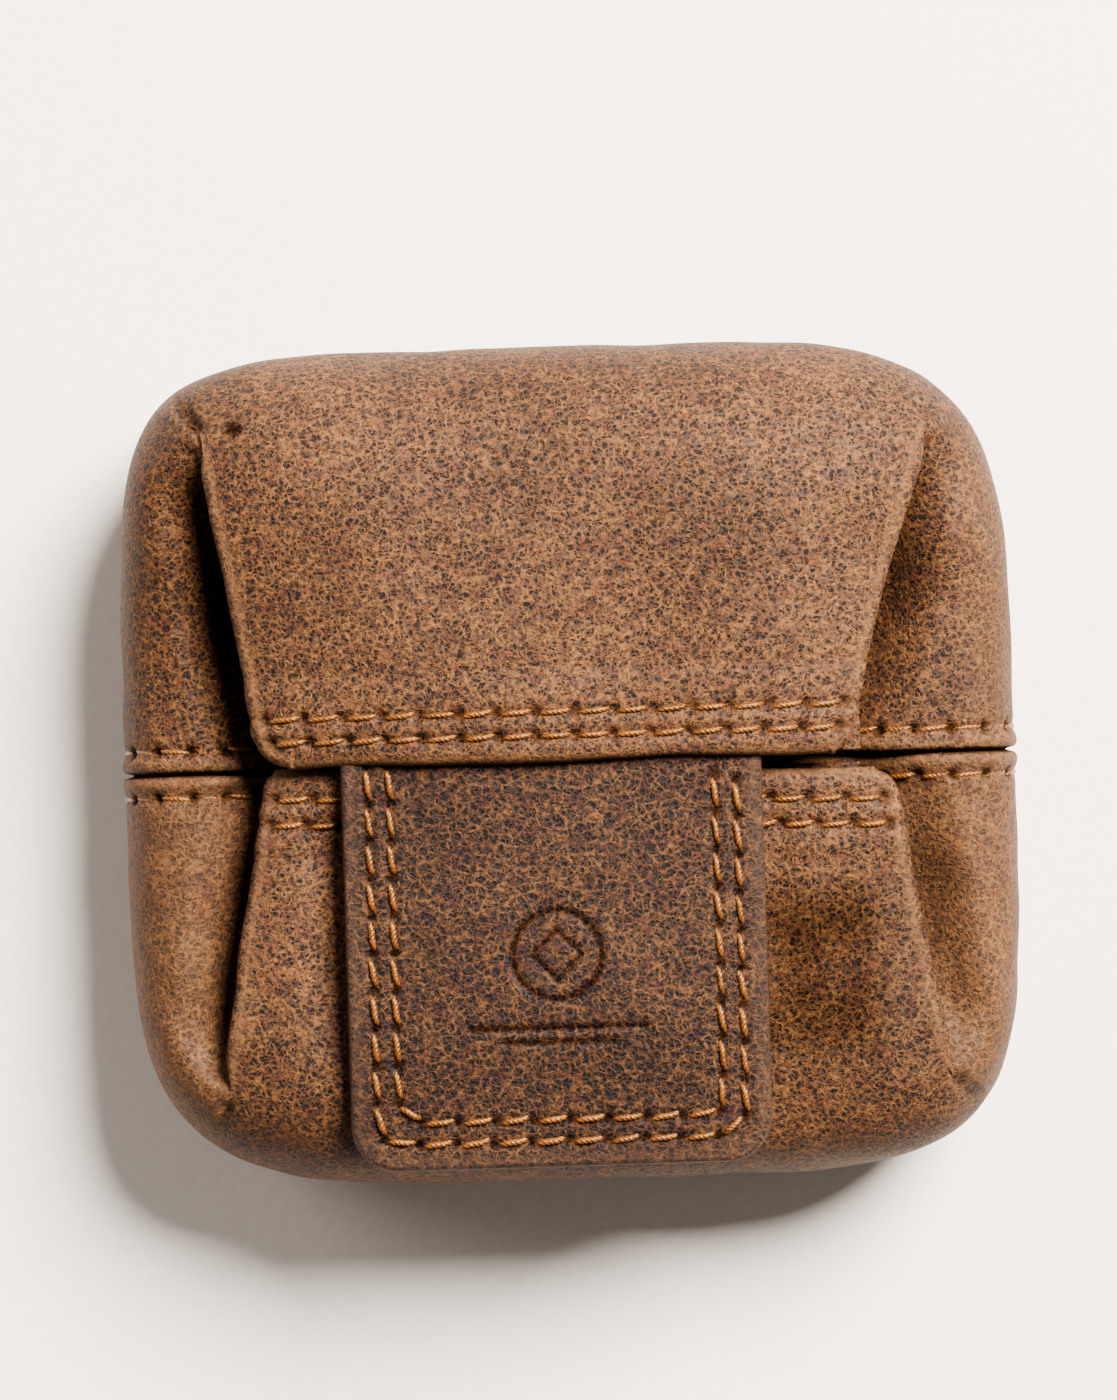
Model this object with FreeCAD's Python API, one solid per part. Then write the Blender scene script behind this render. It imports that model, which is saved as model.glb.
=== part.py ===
"""Leather coin purse: a rounded box pouch whose mouth folds shut along a line across its front.

The purse lies on its back panel with the mouth facing up (+Z). X runs along the mouth, +Y points from
the lower lip to the upper lip, and the origin is the middle of the face it rests on. Millimetres.

An upper and a lower leather make the walls, the two flaps that meet at the mouth, and the side gussets
that fold in under the flaps. Four fold lines meet at each front corner of the box: the flap's eave,
the flap's side edge, the hidden crease of the pleat, and the gusset's eave along the side wall.
"""

import FreeCAD, Part
import math
import os

# ---- driving dimensions ----
HALF_WIDTH = 44.2          # widest, half way up the walls
HALF_HEIGHT = 41.0
EAVE_X = 39.5              # where the side gussets hinge
EAVE_Y = 36.5              # where the flaps hinge
HINGE_Z = 24.0             # height of all the fold lines
SQUARENESS = 5.4           # exponent of the superellipse that every outline follows
LEATHER = 1.2
LINING = 0.3
GAP = 0.1                  # between layers that lie on each other

LIP_HALF = 29.5            # half the width of each flap at the mouth
CREASE_X = 10.0            # how near the middle the pleats reach at the mouth

UPPER_TOP = 29.8           # top face of the upper flap's leather
LOWER_TOP = 26.0           # top face of the lower flap's leather
UPPER_LIP_Y = 0.4
LOWER_LIP_Y = -0.5
HEM_THICK = 0.9            # leather turned under along each lip
HEM_WIDTH = 8.6
FACING_THICK = 0.5

TAB_HALF = 20.5
TAB_X = -1.9               # sewn a little to the left of the middle
TAB_TIP_Y = -39.2
TAB_CORNER = 4.5
TAB_BACK = 0.7
TAB_FRONT = 1.1
TAB_BOTTOM = LOWER_TOP + 0.5

MAGNET_RADIUS = 6.0
MAGNET_Y = -26.0
TAB_MAGNET_THICK = 0.8
CATCH_THICK = 0.9

PLEAT_THICK = 0.8
PLEAT_TOP = HINGE_Z - 0.8
PLEAT_EDGE_GAP = 0.5       # from the flap's side edge
PLEAT_CREASE_GAP = 3.5     # from the crease, which is the pivot left open
GUSSET_THICK = 1.0
GUSSET_TOP = HINGE_Z - 1.8
GUSSET_OUTER_X = 41.2
GUSSET_END_Y = 31.0
SIDE_WALL_TOP = 20.7       # the side walls stop below the gussets

STITCH_PITCH = 3.65
STITCH_LENGTH = 3.0
STITCH_WIDTH = 0.8
STITCH_HEIGHT = 0.35
SEAM_ROW = 2.3             # from the side seam to the row of stitches on each side of it
LIP_ROWS = (2.3, 4.9)      # from the lip's edge
TAB_ROWS = (2.6, 5.0)      # from the tab's edge

# (height, half width, half height) of the wall's outer outline
WALL_SECTIONS = (
    (0.0, EAVE_X - 0.6, EAVE_Y - 0.6),
    (5.5, 42.7, 39.5),
    (12.5, HALF_WIDTH, HALF_HEIGHT),
    (19.0, 42.4, 39.3),
    (HINGE_Z, EAVE_X, EAVE_Y),
)
BIG = 200.0

V = FreeCAD.Vector
OUT = "parts"


# ---- helpers ----
def outline(half_x, half_y, z, points=48):
    """A closed superellipse at height z, as one periodic spline."""
    corners = []
    for i in range(points):
        angle = 2.0 * math.pi * (i + 0.5) / points
        c, s = math.cos(angle), math.sin(angle)
        size = abs(c / half_x) ** SQUARENESS + abs(s / half_y) ** SQUARENESS
        reach = size ** (-1.0 / SQUARENESS)
        corners.append(V(reach * c, reach * s, z))
    curve = Part.BSplineCurve()
    curve.interpolate(corners, PeriodicFlag=True)
    return Part.Wire([curve.toShape()])


def pillow(sections, inset=0.0):
    """A closed solid lofted through (z, half_x, half_y) sections, each drawn in by inset."""
    wires = [outline(hx - inset, hy - inset, z) for z, hx, hy in sections]
    return Part.makeLoft(wires, True, False)


def prism(points, z_low, z_high):
    """A straight prism over a polygon of (x, y) points."""
    loop = [V(x, y, z_low) for x, y in points]
    face = Part.Face(Part.makePolygon(loop + loop[:1]))
    return face.extrude(V(0, 0, z_high - z_low))


def slab(x_low, x_high, y_low, y_high, z_low, z_high):
    size = (x_high - x_low, y_high - y_low, z_high - z_low)
    return Part.makeBox(*size, V(x_low, y_low, z_low))


def mirror_x(shape):
    return shape.mirror(V(0, 0, 0), V(1, 0, 0))


def mirror_y(shape):
    return shape.mirror(V(0, 0, 0), V(0, 1, 0))


def unit(x, y):
    length = math.hypot(x, y)
    return x / length, y / length


def shifted(start, end, distance):
    """The segment start-end moved sideways, to its left seen from above."""
    dx, dy = unit(end[0] - start[0], end[1] - start[1])
    move = (-dy * distance, dx * distance)
    return [(p[0] + move[0], p[1] + move[1]) for p in (start, end)]


def at_y(segment, y):
    """The point of the segment's line at a given y."""
    (x0, y0), (x1, y1) = segment
    return x0 + (x1 - x0) * (y - y0) / (y1 - y0), y


def stitch(x, y, z, direction):
    """One stitch lying flat at (x, y) on the level z, along a direction in the plane."""
    reach = (STITCH_LENGTH - STITCH_WIDTH) / 2
    radius = STITCH_WIDTH / 2
    body = slab(-reach, reach, -radius, radius, 0, STITCH_HEIGHT)
    ends = [Part.makeCylinder(radius, STITCH_HEIGHT, V(s * reach, 0, 0)) for s in (-1, 1)]
    pill = body.multiFuse(ends).removeSplitter()
    turn = math.degrees(math.atan2(direction[1], direction[0]))
    pill.Placement = FreeCAD.Placement(V(x, y, z), FreeCAD.Rotation(V(0, 0, 1), turn))
    return pill


def stitch_run(start, end, z):
    """A straight row of stitches from start to end on the level z."""
    dx, dy = end[0] - start[0], end[1] - start[1]
    length = math.hypot(dx, dy)
    count = max(1, int(round(length / STITCH_PITCH)))
    middles = [(i + 0.5) / count for i in range(count)]
    return [stitch(start[0] + dx * m, start[1] + dy * m, z, (dx, dy)) for m in middles]


def save(name, shapes):
    """Writes one node, made of one or more separate solids."""
    solids = []
    for shape in shapes if isinstance(shapes, list) else [shapes]:
        solids.extend(shape.Solids)
    for solid in solids:
        if not solid.isValid() or solid.Volume <= 0:
            raise RuntimeError(name + " has a bad solid")
    whole = solids[0] if len(solids) == 1 else Part.makeCompound(solids)
    whole.exportStep(os.path.join(OUT, name + ".step"))


# ---- the four fold lines of the upper left corner ----
CORNER = (-EAVE_X, EAVE_Y)
FLAP_EDGE = (CORNER, (-LIP_HALF, 0.0))
CREASE = (CORNER, (-CREASE_X, 0.0))


# ---- the pouch ----
def make_walls():
    """Upper and lower wall: a bulging ring with a notch on each side for the gusset."""
    ring = pillow(WALL_SECTIONS).cut(pillow(WALL_SECTIONS, LEATHER))
    notch_y = GUSSET_END_Y + 0.5
    notch_x = EAVE_X - 6.0
    notch = slab(-BIG, -notch_x, -notch_y, notch_y, SIDE_WALL_TOP, BIG)
    ring = ring.cut(notch).cut(mirror_x(notch))
    upper = ring.common(slab(-BIG, BIG, 0, BIG, -BIG, BIG))
    save("upper_wall", upper)
    save("lower_wall", ring.common(slab(-BIG, BIG, -BIG, 0, -BIG, BIG)))


def make_back_panel():
    """The leather the purse rests on, let into the foot of the walls."""
    panel = pillow(WALL_SECTIONS, LEATHER).common(slab(-BIG, BIG, -BIG, BIG, 0, LEATHER))
    save("back_panel", panel)


def make_base_seam():
    """The thread that joins the walls to the back panel, hidden between panel and lining."""
    low, high = LEATHER + GAP, LEATHER + GAP + 0.5
    band = slab(-BIG, BIG, -BIG, BIG, low, high)
    ring = pillow(WALL_SECTIONS, 2.2).cut(pillow(WALL_SECTIONS, 2.8))
    save("base_seam_thread", ring.common(band))


def make_pouch_lining():
    """A cloth tray inside the walls."""
    floor = LEATHER + GAP + 0.5 + GAP
    top = SIDE_WALL_TOP - GAP
    outer = pillow(WALL_SECTIONS, LEATHER + GAP).common(slab(-BIG, BIG, -BIG, BIG, floor, top))
    inner_band = slab(-BIG, BIG, -BIG, BIG, floor + LINING, BIG)
    inner = pillow(WALL_SECTIONS, LEATHER + GAP + LINING).common(inner_band)
    save("pouch_lining", outer.cut(inner))


def wall_point(solid, y, z, side):
    """Where a level line towards one side leaves the pillow."""
    line = Part.makeLine(V(side * 30.0, y, z), V(side * 60.0, y, z))
    return max(abs(v.X) for v in line.common(solid).Vertexes)


def make_wall_threads():
    """Rows of stitches down both sides of each side seam."""
    solid = pillow(WALL_SECTIONS)
    count = 4
    first = 4.6
    for side, side_name in ((-1, "left"), (1, "right")):
        for half, half_name in ((1, "upper"), (-1, "lower")):
            row = []
            for i in range(count):
                z = first + i * STITCH_PITCH
                reach = STITCH_PITCH / 2
                x = [wall_point(solid, half * SEAM_ROW, z + d, side) for d in (-reach, 0, reach)]
                lean = math.degrees(math.atan2(x[2] - x[0], 2 * reach))
                pill = stitch(0, 0, 0, (1, 0))
                stand = FreeCAD.Rotation(V(0, 1, 0), side * 90)
                tilt = FreeCAD.Rotation(V(0, 1, 0), side * lean)
                place = V(side * (x[1] + 0.03), half * SEAM_ROW, z)
                pill.Placement = FreeCAD.Placement(place, tilt.multiply(stand))
                row.append(pill)
            save(side_name + "_wall_thread_" + half_name, row)


# ---- the flaps ----
def flap_edge_polygon(lip_y):
    """Plan of the upper flap, from its eave to its lip."""
    left = at_y(FLAP_EDGE, lip_y)
    back = at_y(FLAP_EDGE, EAVE_Y + 4.0)
    return [left, (-left[0], lip_y), (-back[0], back[1]), back]


def dome_sections(top, inset):
    """Rise of a flap from its eave, as pillow sections."""
    rise = top - HINGE_Z - GAP
    low = HINGE_Z + GAP
    return (
        (low, EAVE_X, EAVE_Y),
        (low + 0.55 * rise, EAVE_X - 0.12 * inset, EAVE_Y - 0.12 * inset),
        (low + 0.88 * rise, EAVE_X - 0.42 * inset, EAVE_Y - 0.42 * inset),
        (top, EAVE_X - inset, EAVE_Y - inset),
    )


def flap_leather(top, lip_gap, dome_inset):
    """A domed flap for the upper half, hollow below, with its lip turned under."""
    dome = pillow(dome_sections(top, dome_inset))
    hollow = pillow(dome_sections(top - LEATHER, dome_inset), LEATHER)
    below = slab(-BIG, BIG, -BIG, BIG, HINGE_Z - 1, HINGE_Z + GAP + 0.01)
    shell = dome.cut(hollow).cut(below)
    plan = prism(flap_edge_polygon(lip_gap), HINGE_Z, top + 1)
    hem_low = top - LEATHER - HEM_THICK
    hem_left = at_y(FLAP_EDGE, lip_gap)[0] + 0.4
    hem = slab(hem_left, -hem_left, lip_gap, lip_gap + HEM_WIDTH, hem_low, top - LEATHER / 2)
    leather = shell.common(plan).fuse(hem).removeSplitter()
    lip_edges = []
    for edge in leather.Edges:
        box = edge.BoundBox
        along_lip = abs(box.YMin - lip_gap) < 1e-4 and abs(box.YMax - lip_gap) < 1e-4
        if along_lip and box.ZLength < 1e-4 and abs(box.ZMin - top) < 1e-4:
            lip_edges.append(edge)
    return leather.makeFillet(HEM_THICK, lip_edges)


def row_ends(lip_gap, row, margin=1.6):
    """Left end of a row of lip stitches."""
    left = at_y(FLAP_EDGE, lip_gap + row)
    return left[0] + margin, left[1]


def make_flap(name, top, lip_gap, dome_inset, flip):
    """One flap with its facing, lining and two rows of stitches; flip mirrors it to the lower half."""
    turn = mirror_y if flip else (lambda shape: shape)
    save(name + "_flap", turn(flap_leather(top, lip_gap, dome_inset)))
    for row, row_name in zip(LIP_ROWS, ("outer", "inner")):
        x, y = row_ends(lip_gap, row)
        run = stitch_run((x, y), (-x, y), top)
        save(name + "_lip_thread_" + row_name, [turn(s) for s in run])


def make_upper_flap():
    make_flap("upper", UPPER_TOP, UPPER_LIP_Y, 6.0, False)
    hem_bottom = UPPER_TOP - LEATHER - HEM_THICK
    facing_half = LIP_HALF - 1.2
    low, high = UPPER_LIP_Y + 0.2, UPPER_LIP_Y + HEM_WIDTH
    facing_top = TAB_BOTTOM - GAP
    facing = slab(-facing_half, facing_half, low, high, facing_top - FACING_THICK, facing_top)
    save("upper_lip_facing", facing)
    left, right = TAB_X - TAB_HALF, TAB_X + TAB_HALF
    root = slab(left, right, low, high, TAB_BOTTOM, hem_bottom - GAP)
    save("tab_root", root)
    lining_top = UPPER_TOP - LEATHER - GAP
    lining = slab(-29.0, 29.0, high + 0.4, 29.0, lining_top - LINING, lining_top)
    save("upper_flap_lining", lining)


def make_lower_flap():
    lip_gap = -LOWER_LIP_Y
    make_flap("lower", LOWER_TOP, lip_gap, 3.5, True)
    hem_bottom = LOWER_TOP - LEATHER - HEM_THICK
    facing_half = LIP_HALF - 1.2
    facing_bottom = hem_bottom - FACING_THICK
    far = lip_gap + HEM_WIDTH
    facing = slab(-facing_half, facing_half, -far, -lip_gap - 0.2, facing_bottom, hem_bottom)
    save("lower_lip_facing", facing)
    magnet_top = LOWER_TOP - LEATHER
    magnet_place = V(TAB_X, MAGNET_Y, magnet_top - CATCH_THICK - 0.02)
    save("catch_magnet", Part.makeCylinder(MAGNET_RADIUS, CATCH_THICK, magnet_place))
    patch_top = magnet_top - CATCH_THICK - 0.02
    patch_half = MAGNET_RADIUS + 3.0
    patch_y = (MAGNET_Y - patch_half + 1.5, MAGNET_Y + patch_half)
    left, right = TAB_X - patch_half, TAB_X + patch_half
    patch = slab(left, right, *patch_y, patch_top - LINING, patch_top)
    save("catch_patch", patch)
    lining_top = patch_top - LINING
    lining = slab(-29.0, 29.0, -33.0, -far - 0.4, lining_top - LINING, lining_top)
    save("lower_flap_lining", lining)


# ---- the tab ----
def tab_plan(inset, z_low, z_high):
    """The tab's outline with round lower corners, drawn in by inset on its three free sides."""
    half = TAB_HALF - inset
    tip = TAB_TIP_Y + inset
    root = UPPER_LIP_Y - 0.3
    body = slab(TAB_X - half, TAB_X + half, tip, root, z_low, z_high)
    corners = []
    for edge in body.Edges:
        box = edge.BoundBox
        if box.ZLength > 1e-3 and box.XLength < 1e-3 and box.YMax < root - 1:
            corners.append(edge)
    return body.makeFillet(TAB_CORNER - inset, corners)


def make_tab():
    split = TAB_BOTTOM + TAB_BACK
    top = split + TAB_FRONT
    magnet_low = split - TAB_MAGNET_THICK / 2
    magnet_place = V(TAB_X, MAGNET_Y, magnet_low)
    magnet = Part.makeCylinder(MAGNET_RADIUS, TAB_MAGNET_THICK, magnet_place)
    save("tab_magnet", magnet)
    save("tab_back", tab_plan(0.0, TAB_BOTTOM, split).cut(magnet))
    save("tab_front", tab_plan(0.0, split, top).cut(magnet))
    for inset, row_name in zip(TAB_ROWS, ("outer", "inner")):
        left, right = TAB_X - TAB_HALF + inset, TAB_X + TAB_HALF - inset
        tip = TAB_TIP_Y + inset
        start = UPPER_LIP_Y - 1.6
        bend = 1.2
        row = stitch_run((left, start), (left, tip + bend), top)
        row += stitch_run((left + bend, tip), (right - bend, tip), top)
        row += stitch_run((right, tip + bend), (right, start), top)
        save("tab_thread_" + row_name, row)


# ---- gussets and pleats ----
def make_gusset_quarter():
    """The upper left half of a gusset, its lining, and its row of stitches."""
    bottom = GUSSET_TOP - GUSSET_THICK
    at_end = at_y(CREASE, GUSSET_END_Y)
    plan = [(-GUSSET_OUTER_X, 0.0), at_y(CREASE, 0.0), at_end, (-GUSSET_OUTER_X, GUSSET_END_Y)]
    leather = prism(plan, bottom, GUSSET_TOP)
    # the outer edge keeps inside the wall's own outline at that height
    leather = leather.common(pillow(WALL_SECTIONS, 0.05))
    row = stitch_run((-GUSSET_OUTER_X + 0.6, SEAM_ROW), (-CREASE_X - 7.0, SEAM_ROW), GUSSET_TOP)
    # the pleat lies on the leather from here on, with no room for thread between them
    clear_x = at_y(FLAP_EDGE, SEAM_ROW)[0]
    row = [s for s in row if s.BoundBox.XMax < clear_x]
    return leather, row


def make_gussets():
    leather, row = make_gusset_quarter()
    lining_top = GUSSET_TOP - GUSSET_THICK - 0.05
    lining_end = at_y(CREASE, GUSSET_END_Y - 4.0)
    plan = [(-EAVE_X + 1.5, 0.0), (-CREASE_X - 4.0, 0.0), lining_end, (-EAVE_X + 1.5, lining_end[1])]
    half_lining = prism(plan, lining_top - LINING, lining_top)
    lining = half_lining.fuse(mirror_y(half_lining)).removeSplitter()
    for side_name, turn in (("left", lambda s: s), ("right", mirror_x)):
        save(side_name + "_gusset_upper", turn(leather))
        save(side_name + "_gusset_lower", turn(mirror_y(leather)))
        save(side_name + "_gusset_thread_upper", [turn(s) for s in row])
        save(side_name + "_gusset_thread_lower", [turn(mirror_y(s)) for s in row])
        save(side_name + "_gusset_lining", turn(lining))


def make_pleats():
    """The leather that turns back under each flap's side edge, one piece in each corner."""
    near_edge = shifted(*FLAP_EDGE, PLEAT_EDGE_GAP)
    near_crease = shifted(*CREASE, -PLEAT_CREASE_GAP)
    mouth_y, corner_y = 1.0, 24.0
    plan = [at_y(near_edge, mouth_y), at_y(near_crease, mouth_y),
            at_y(near_crease, corner_y), at_y(near_edge, corner_y)]
    pleat = prism(plan, PLEAT_TOP - PLEAT_THICK, PLEAT_TOP)
    save("upper_left_pleat", pleat)
    save("upper_right_pleat", mirror_x(pleat))
    save("lower_left_pleat", mirror_y(pleat))
    save("lower_right_pleat", mirror_x(mirror_y(pleat)))


def main():
    os.makedirs(OUT, exist_ok=True)
    for old in os.listdir(OUT):
        os.remove(os.path.join(OUT, old))
    make_walls()
    make_back_panel()
    make_base_seam()
    make_pouch_lining()
    make_wall_threads()
    make_upper_flap()
    make_lower_flap()
    make_tab()
    make_gussets()
    make_pleats()


main()
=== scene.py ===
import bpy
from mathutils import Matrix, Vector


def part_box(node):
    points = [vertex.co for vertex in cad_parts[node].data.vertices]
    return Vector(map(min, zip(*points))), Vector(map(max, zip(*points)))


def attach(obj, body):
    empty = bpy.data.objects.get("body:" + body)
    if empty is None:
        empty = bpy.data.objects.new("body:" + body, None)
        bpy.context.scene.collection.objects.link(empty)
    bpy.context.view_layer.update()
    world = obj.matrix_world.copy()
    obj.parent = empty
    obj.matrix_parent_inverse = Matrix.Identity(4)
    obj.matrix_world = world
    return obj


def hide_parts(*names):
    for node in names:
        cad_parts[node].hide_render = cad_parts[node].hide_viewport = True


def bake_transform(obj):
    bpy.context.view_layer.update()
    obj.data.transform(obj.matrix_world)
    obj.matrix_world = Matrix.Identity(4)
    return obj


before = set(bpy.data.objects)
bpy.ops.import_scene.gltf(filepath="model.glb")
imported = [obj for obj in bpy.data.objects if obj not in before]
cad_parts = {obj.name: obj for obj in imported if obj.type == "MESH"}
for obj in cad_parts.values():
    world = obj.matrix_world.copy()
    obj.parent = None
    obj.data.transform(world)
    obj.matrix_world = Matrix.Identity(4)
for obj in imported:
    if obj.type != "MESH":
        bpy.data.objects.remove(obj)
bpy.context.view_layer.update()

# The looks of a leather coin purse that lies on its back panel, mouth up. Shapes are worked out in
# millimetres in the CAD's own frame, and turned into metres where a mesh is made.
#
# The purse's outer skin is one pillow shape. Its widest outline is a rounded square, and every point
# has a share, 1 on that outline and 0 in the middle. The flaps and gussets differ in how high
# the skin rises inside the outline. Each flap's side edge is folded under from its lip to an apex near
# the corner, and from the apex to the outline the flap and the gusset are one skin with a crease.

import math
from collections import namedtuple

import bpy
import numpy as np
from mathutils import Vector

MM = 0.001


def box(node):
    """Lowest and highest corner of a CAD node, in millimetres."""
    return [np.array(corner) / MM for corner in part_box(node)]


# ---- sizes from the frame ----
WALL_HIGH = box("upper_wall")[1]
HALF_X = WALL_HIGH[0]
HALF_Y = WALL_HIGH[1] + 0.4    # the leather swells a little past the plain wall
UPPER_TOP = box("upper_flap")[1][2]
LOWER_TOP = box("lower_flap")[1][2]
TAB_LOW, TAB_HIGH = box("tab_back")[0], box("tab_front")[1]
TAB_MIDDLE = (TAB_LOW[0] + TAB_HIGH[0]) / 2
TAB_HALF = (TAB_HIGH[0] - TAB_LOW[0]) / 2

# ---- the skin ----
BELLY_Z = 13.0                 # height of the widest outline
SQUARENESS = 5.4               # of the plain outline that rows and columns are laid out on
# Squareness of the real outline at each corner, by side and flap.
CORNER_SQUARENESS = {(-1, 1): 6.1, (1, 1): 4.7, (-1, -1): 4.6, (1, -1): 5.4}
FOOT_SHARE = 0.88              # share of the outline that the wall keeps at the floor
FOOT_POWER = 2.2
FOOT_Z = 0.9                   # where the wall turns in under the foot
CROWN_EDGE = 34.9              # keeps the skin near the outline the same, however high it rises
CROWN_ROUND = 2.2
GUSSET_RISE = 9.6              # of the skin over the belly, between the flaps
GUSSET_DIP = {-1: 6.0, 1: 4.8}     # how much deeper each side's gusset lies beside the flaps
# Width of the painted shade where a gusset goes in under a flap, by side and flap.
SHADE_WIDTH = {(-1, 1): 13.0, (1, 1): 6.5, (-1, -1): 2.0, (1, -1): 1.5}
CREASE_X = 10.0                # the hidden fold between pleat and gusset, at the mouth
LEATHER = 1.1
PLEAT_LEATHER = 0.8
CLOTH_THICKNESS = 0.3
SPACING = 0.36                 # between the points of a leather mesh
CREASE_ROWS = 100

# ---- seams and thread ----
PITCH = 3.65                   # of the stitches
THREAD_RADIUS = 0.28
SEAM_ROW = 2.3                 # from a side seam to its row of thread
SEAM_INNER_X, SEAM_LOW_Z = 27.0, 2.2       # where that row begins, and how low it ends
HEM_WIDTH = 8.6                # of the leather turned in at a lip

# A side edge runs from the lip to its apex. The crease goes on from there to the outline, which it
# meets at a corner, given by the x of that corner on a plain rounded square.
Edge = namedtuple("Edge", "half_width apex corner bend crease round")
Flap = namedtuple("Flap", "name sign top lip tilt left right drape rows hem rim")
UPPER = Flap("upper", sign=1, top=UPPER_TOP, lip=0.4, tilt=0.0,
             left=Edge(30.4, apex=(35.3, 33.5), corner=37.5, bend=0.10, crease=0.8, round=2.4),
             right=Edge(27.2, apex=(35.8, 32.6), corner=38.3, bend=0.12, crease=0.3, round=1.0),
             drape=1.7, rows=(2.4, 4.7), hem=2.1, rim=0.95)
LOWER = Flap("lower", sign=-1, top=LOWER_TOP, lip=0.6, tilt=0.028,
             left=Edge(29.9, apex=(34.3, 31.9), corner=36.4, bend=-0.05, crease=0.4, round=0.6),
             right=Edge(31.7, apex=(36.5, 31.7), corner=40.0, bend=0.16, crease=0.35, round=1.5),
             drape=0.9, rows=(2.9, 5.4), hem=2.0, rim=0.9)
FLAPS = (UPPER, LOWER)
SIDES = (-1, 1)
ROW_WORDS = ("outer", "inner")


def side_word(side):
    return "left" if side < 0 else "right"


# ---- small maths ----
def smooth(value, start, end):
    """0 before start, 1 after end, smooth between."""
    t = np.clip((value - start) / (end - start), 0.0, 1.0)
    return t * t * (3.0 - 2.0 * t)


def hump(distance, width):
    """1 at no distance, and next to nothing beyond twice the width."""
    return np.exp(-(distance / width) ** 2)


def lerp(a, b, t):
    return a + (b - a) * t


def unit(vectors):
    length = np.linalg.norm(vectors, axis=-1, keepdims=True)
    return vectors / np.maximum(length, 1e-9)


def waves(points, wavelength, seed, count=14):
    """A smooth random field from about -1 to 1."""
    rng = np.random.default_rng(seed)
    directions = unit(rng.normal(size=(count, 3)))
    lengths = wavelength * rng.uniform(0.7, 1.5, count)
    phases = rng.uniform(0.0, 2.0 * math.pi, count)
    total = np.zeros(points.shape[:-1])
    for direction, length, phase in zip(directions, lengths, phases):
        total += np.sin(points @ direction * (2.0 * math.pi / length) + phase)
    return total / math.sqrt(count)


def segment_distance(points, start, end):
    """Distance in plan from points to a segment, and how far along it the nearest place is."""
    start, end = np.array(start, float), np.array(end, float)
    along = end - start
    t = np.clip(((points[..., :2] - start) @ along) / (along @ along), 0.0, 1.0)
    nearest = start + t[..., None] * along
    return np.linalg.norm(points[..., :2] - nearest, axis=-1), t


# ---- the pillow skin ----
def corner_power(x, y):
    """Squareness of the outline in the direction of (x, y)."""
    reach = np.maximum(np.hypot(x, y), 1e-9)
    east = np.clip(1.5 * x / reach, -1.0, 1.0)
    north = np.clip(1.5 * y / reach, -1.0, 1.0)
    power = 0.0
    for (sx, sy), value in CORNER_SQUARENESS.items():
        power = power + value * (1.0 + sx * east) / 2.0 * (1.0 + sy * north) / 2.0
    return power


def share(x, y):
    power = corner_power(x, y)
    return (np.abs(x / HALF_X) ** power + np.abs(y / HALF_Y) ** power) ** (1.0 / power)


def outline_towards(x, y):
    """The point of the widest outline in the direction of (x, y)."""
    scale = 1.0 / share(x, y)
    return np.stack([x * scale, y * scale], -1)


def plain_y(x):
    return HALF_Y * (1.0 - np.abs(x / HALF_X) ** SQUARENESS) ** (1.0 / SQUARENESS)


def plain_x(y):
    return HALF_X * (1.0 - np.abs(y / HALF_Y) ** SQUARENESS) ** (1.0 / SQUARENESS)


def crown(rho, rise):
    """Height of the skin at a share of the outline, if its middle is a rise above the belly."""
    power = (CROWN_EDGE / rise) ** CROWN_ROUND
    fall = np.clip(1.0 - np.minimum(rho, 1.0) ** power, 0.0, 1.0)
    return BELLY_Z + rise * fall ** (1.0 / CROWN_ROUND)


def wall_share(z):
    """Share of the outline that the wall keeps at a height below the belly."""
    return 1.0 - (1.0 - FOOT_SHARE) * ((BELLY_Z - z) / BELLY_Z) ** FOOT_POWER


def grid_normals(grid, flip=False):
    normals = unit(np.cross(np.gradient(grid, axis=1), np.gradient(grid, axis=0)))
    return -normals if flip else normals


def at_height(flat, z):
    """Plan points given one height."""
    return np.concatenate([flat, np.full((len(flat), 1), z)], 1)


def full_outline():
    angle = np.linspace(0.0, 2.0 * math.pi, 241)
    return outline_towards(np.cos(angle), np.sin(angle))


# ---- plan of the flaps ----
def edge_of(flap, side):
    return flap.left if side < 0 else flap.right


def rim_point(flap, side, f):
    """Plan of a flap's side edge at share f of the way from its lip to its apex."""
    edge = edge_of(flap, side)
    start_x = side * (edge.half_width - flap.rim)
    start_y = flap.lip + flap.hem / 2 + flap.tilt * start_x
    x = lerp(start_x, side * edge.apex[0], (1.0 - edge.bend) * f + edge.bend * f ** 4)
    y = lerp(start_y, edge.apex[1], f)
    short = np.clip(edge.round - (y - start_y), 0.0, edge.round)
    x = x - side * (edge.round - np.sqrt(edge.round ** 2 - short ** 2))
    return np.stack([x, y], -1)


def rim_x(flap, side, y):
    """The x of a flap's side edge at a distance y from the mouth."""
    line = rim_point(flap, side, np.linspace(0.0, 1.0, 120))
    return np.interp(y, line[:, 1], line[:, 0])


def apex_of(flap, side):
    x, y = edge_of(flap, side).apex
    return np.array([side * x, y])


def corner_of(flap, side):
    """Where the crease meets the widest outline, with y counted from the mouth."""
    plain = edge_of(flap, side).corner
    x, y = outline_towards(np.array(side * plain), np.array(flap.sign * plain_y(plain)))
    return np.array([x, flap.sign * y])


def crease_steps(count):
    """Shares from the apex to the outline, closer together where the skin turns down."""
    return 1.0 - (1.0 - np.linspace(0.0, 1.0, count + 1)) ** 2.2


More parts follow.
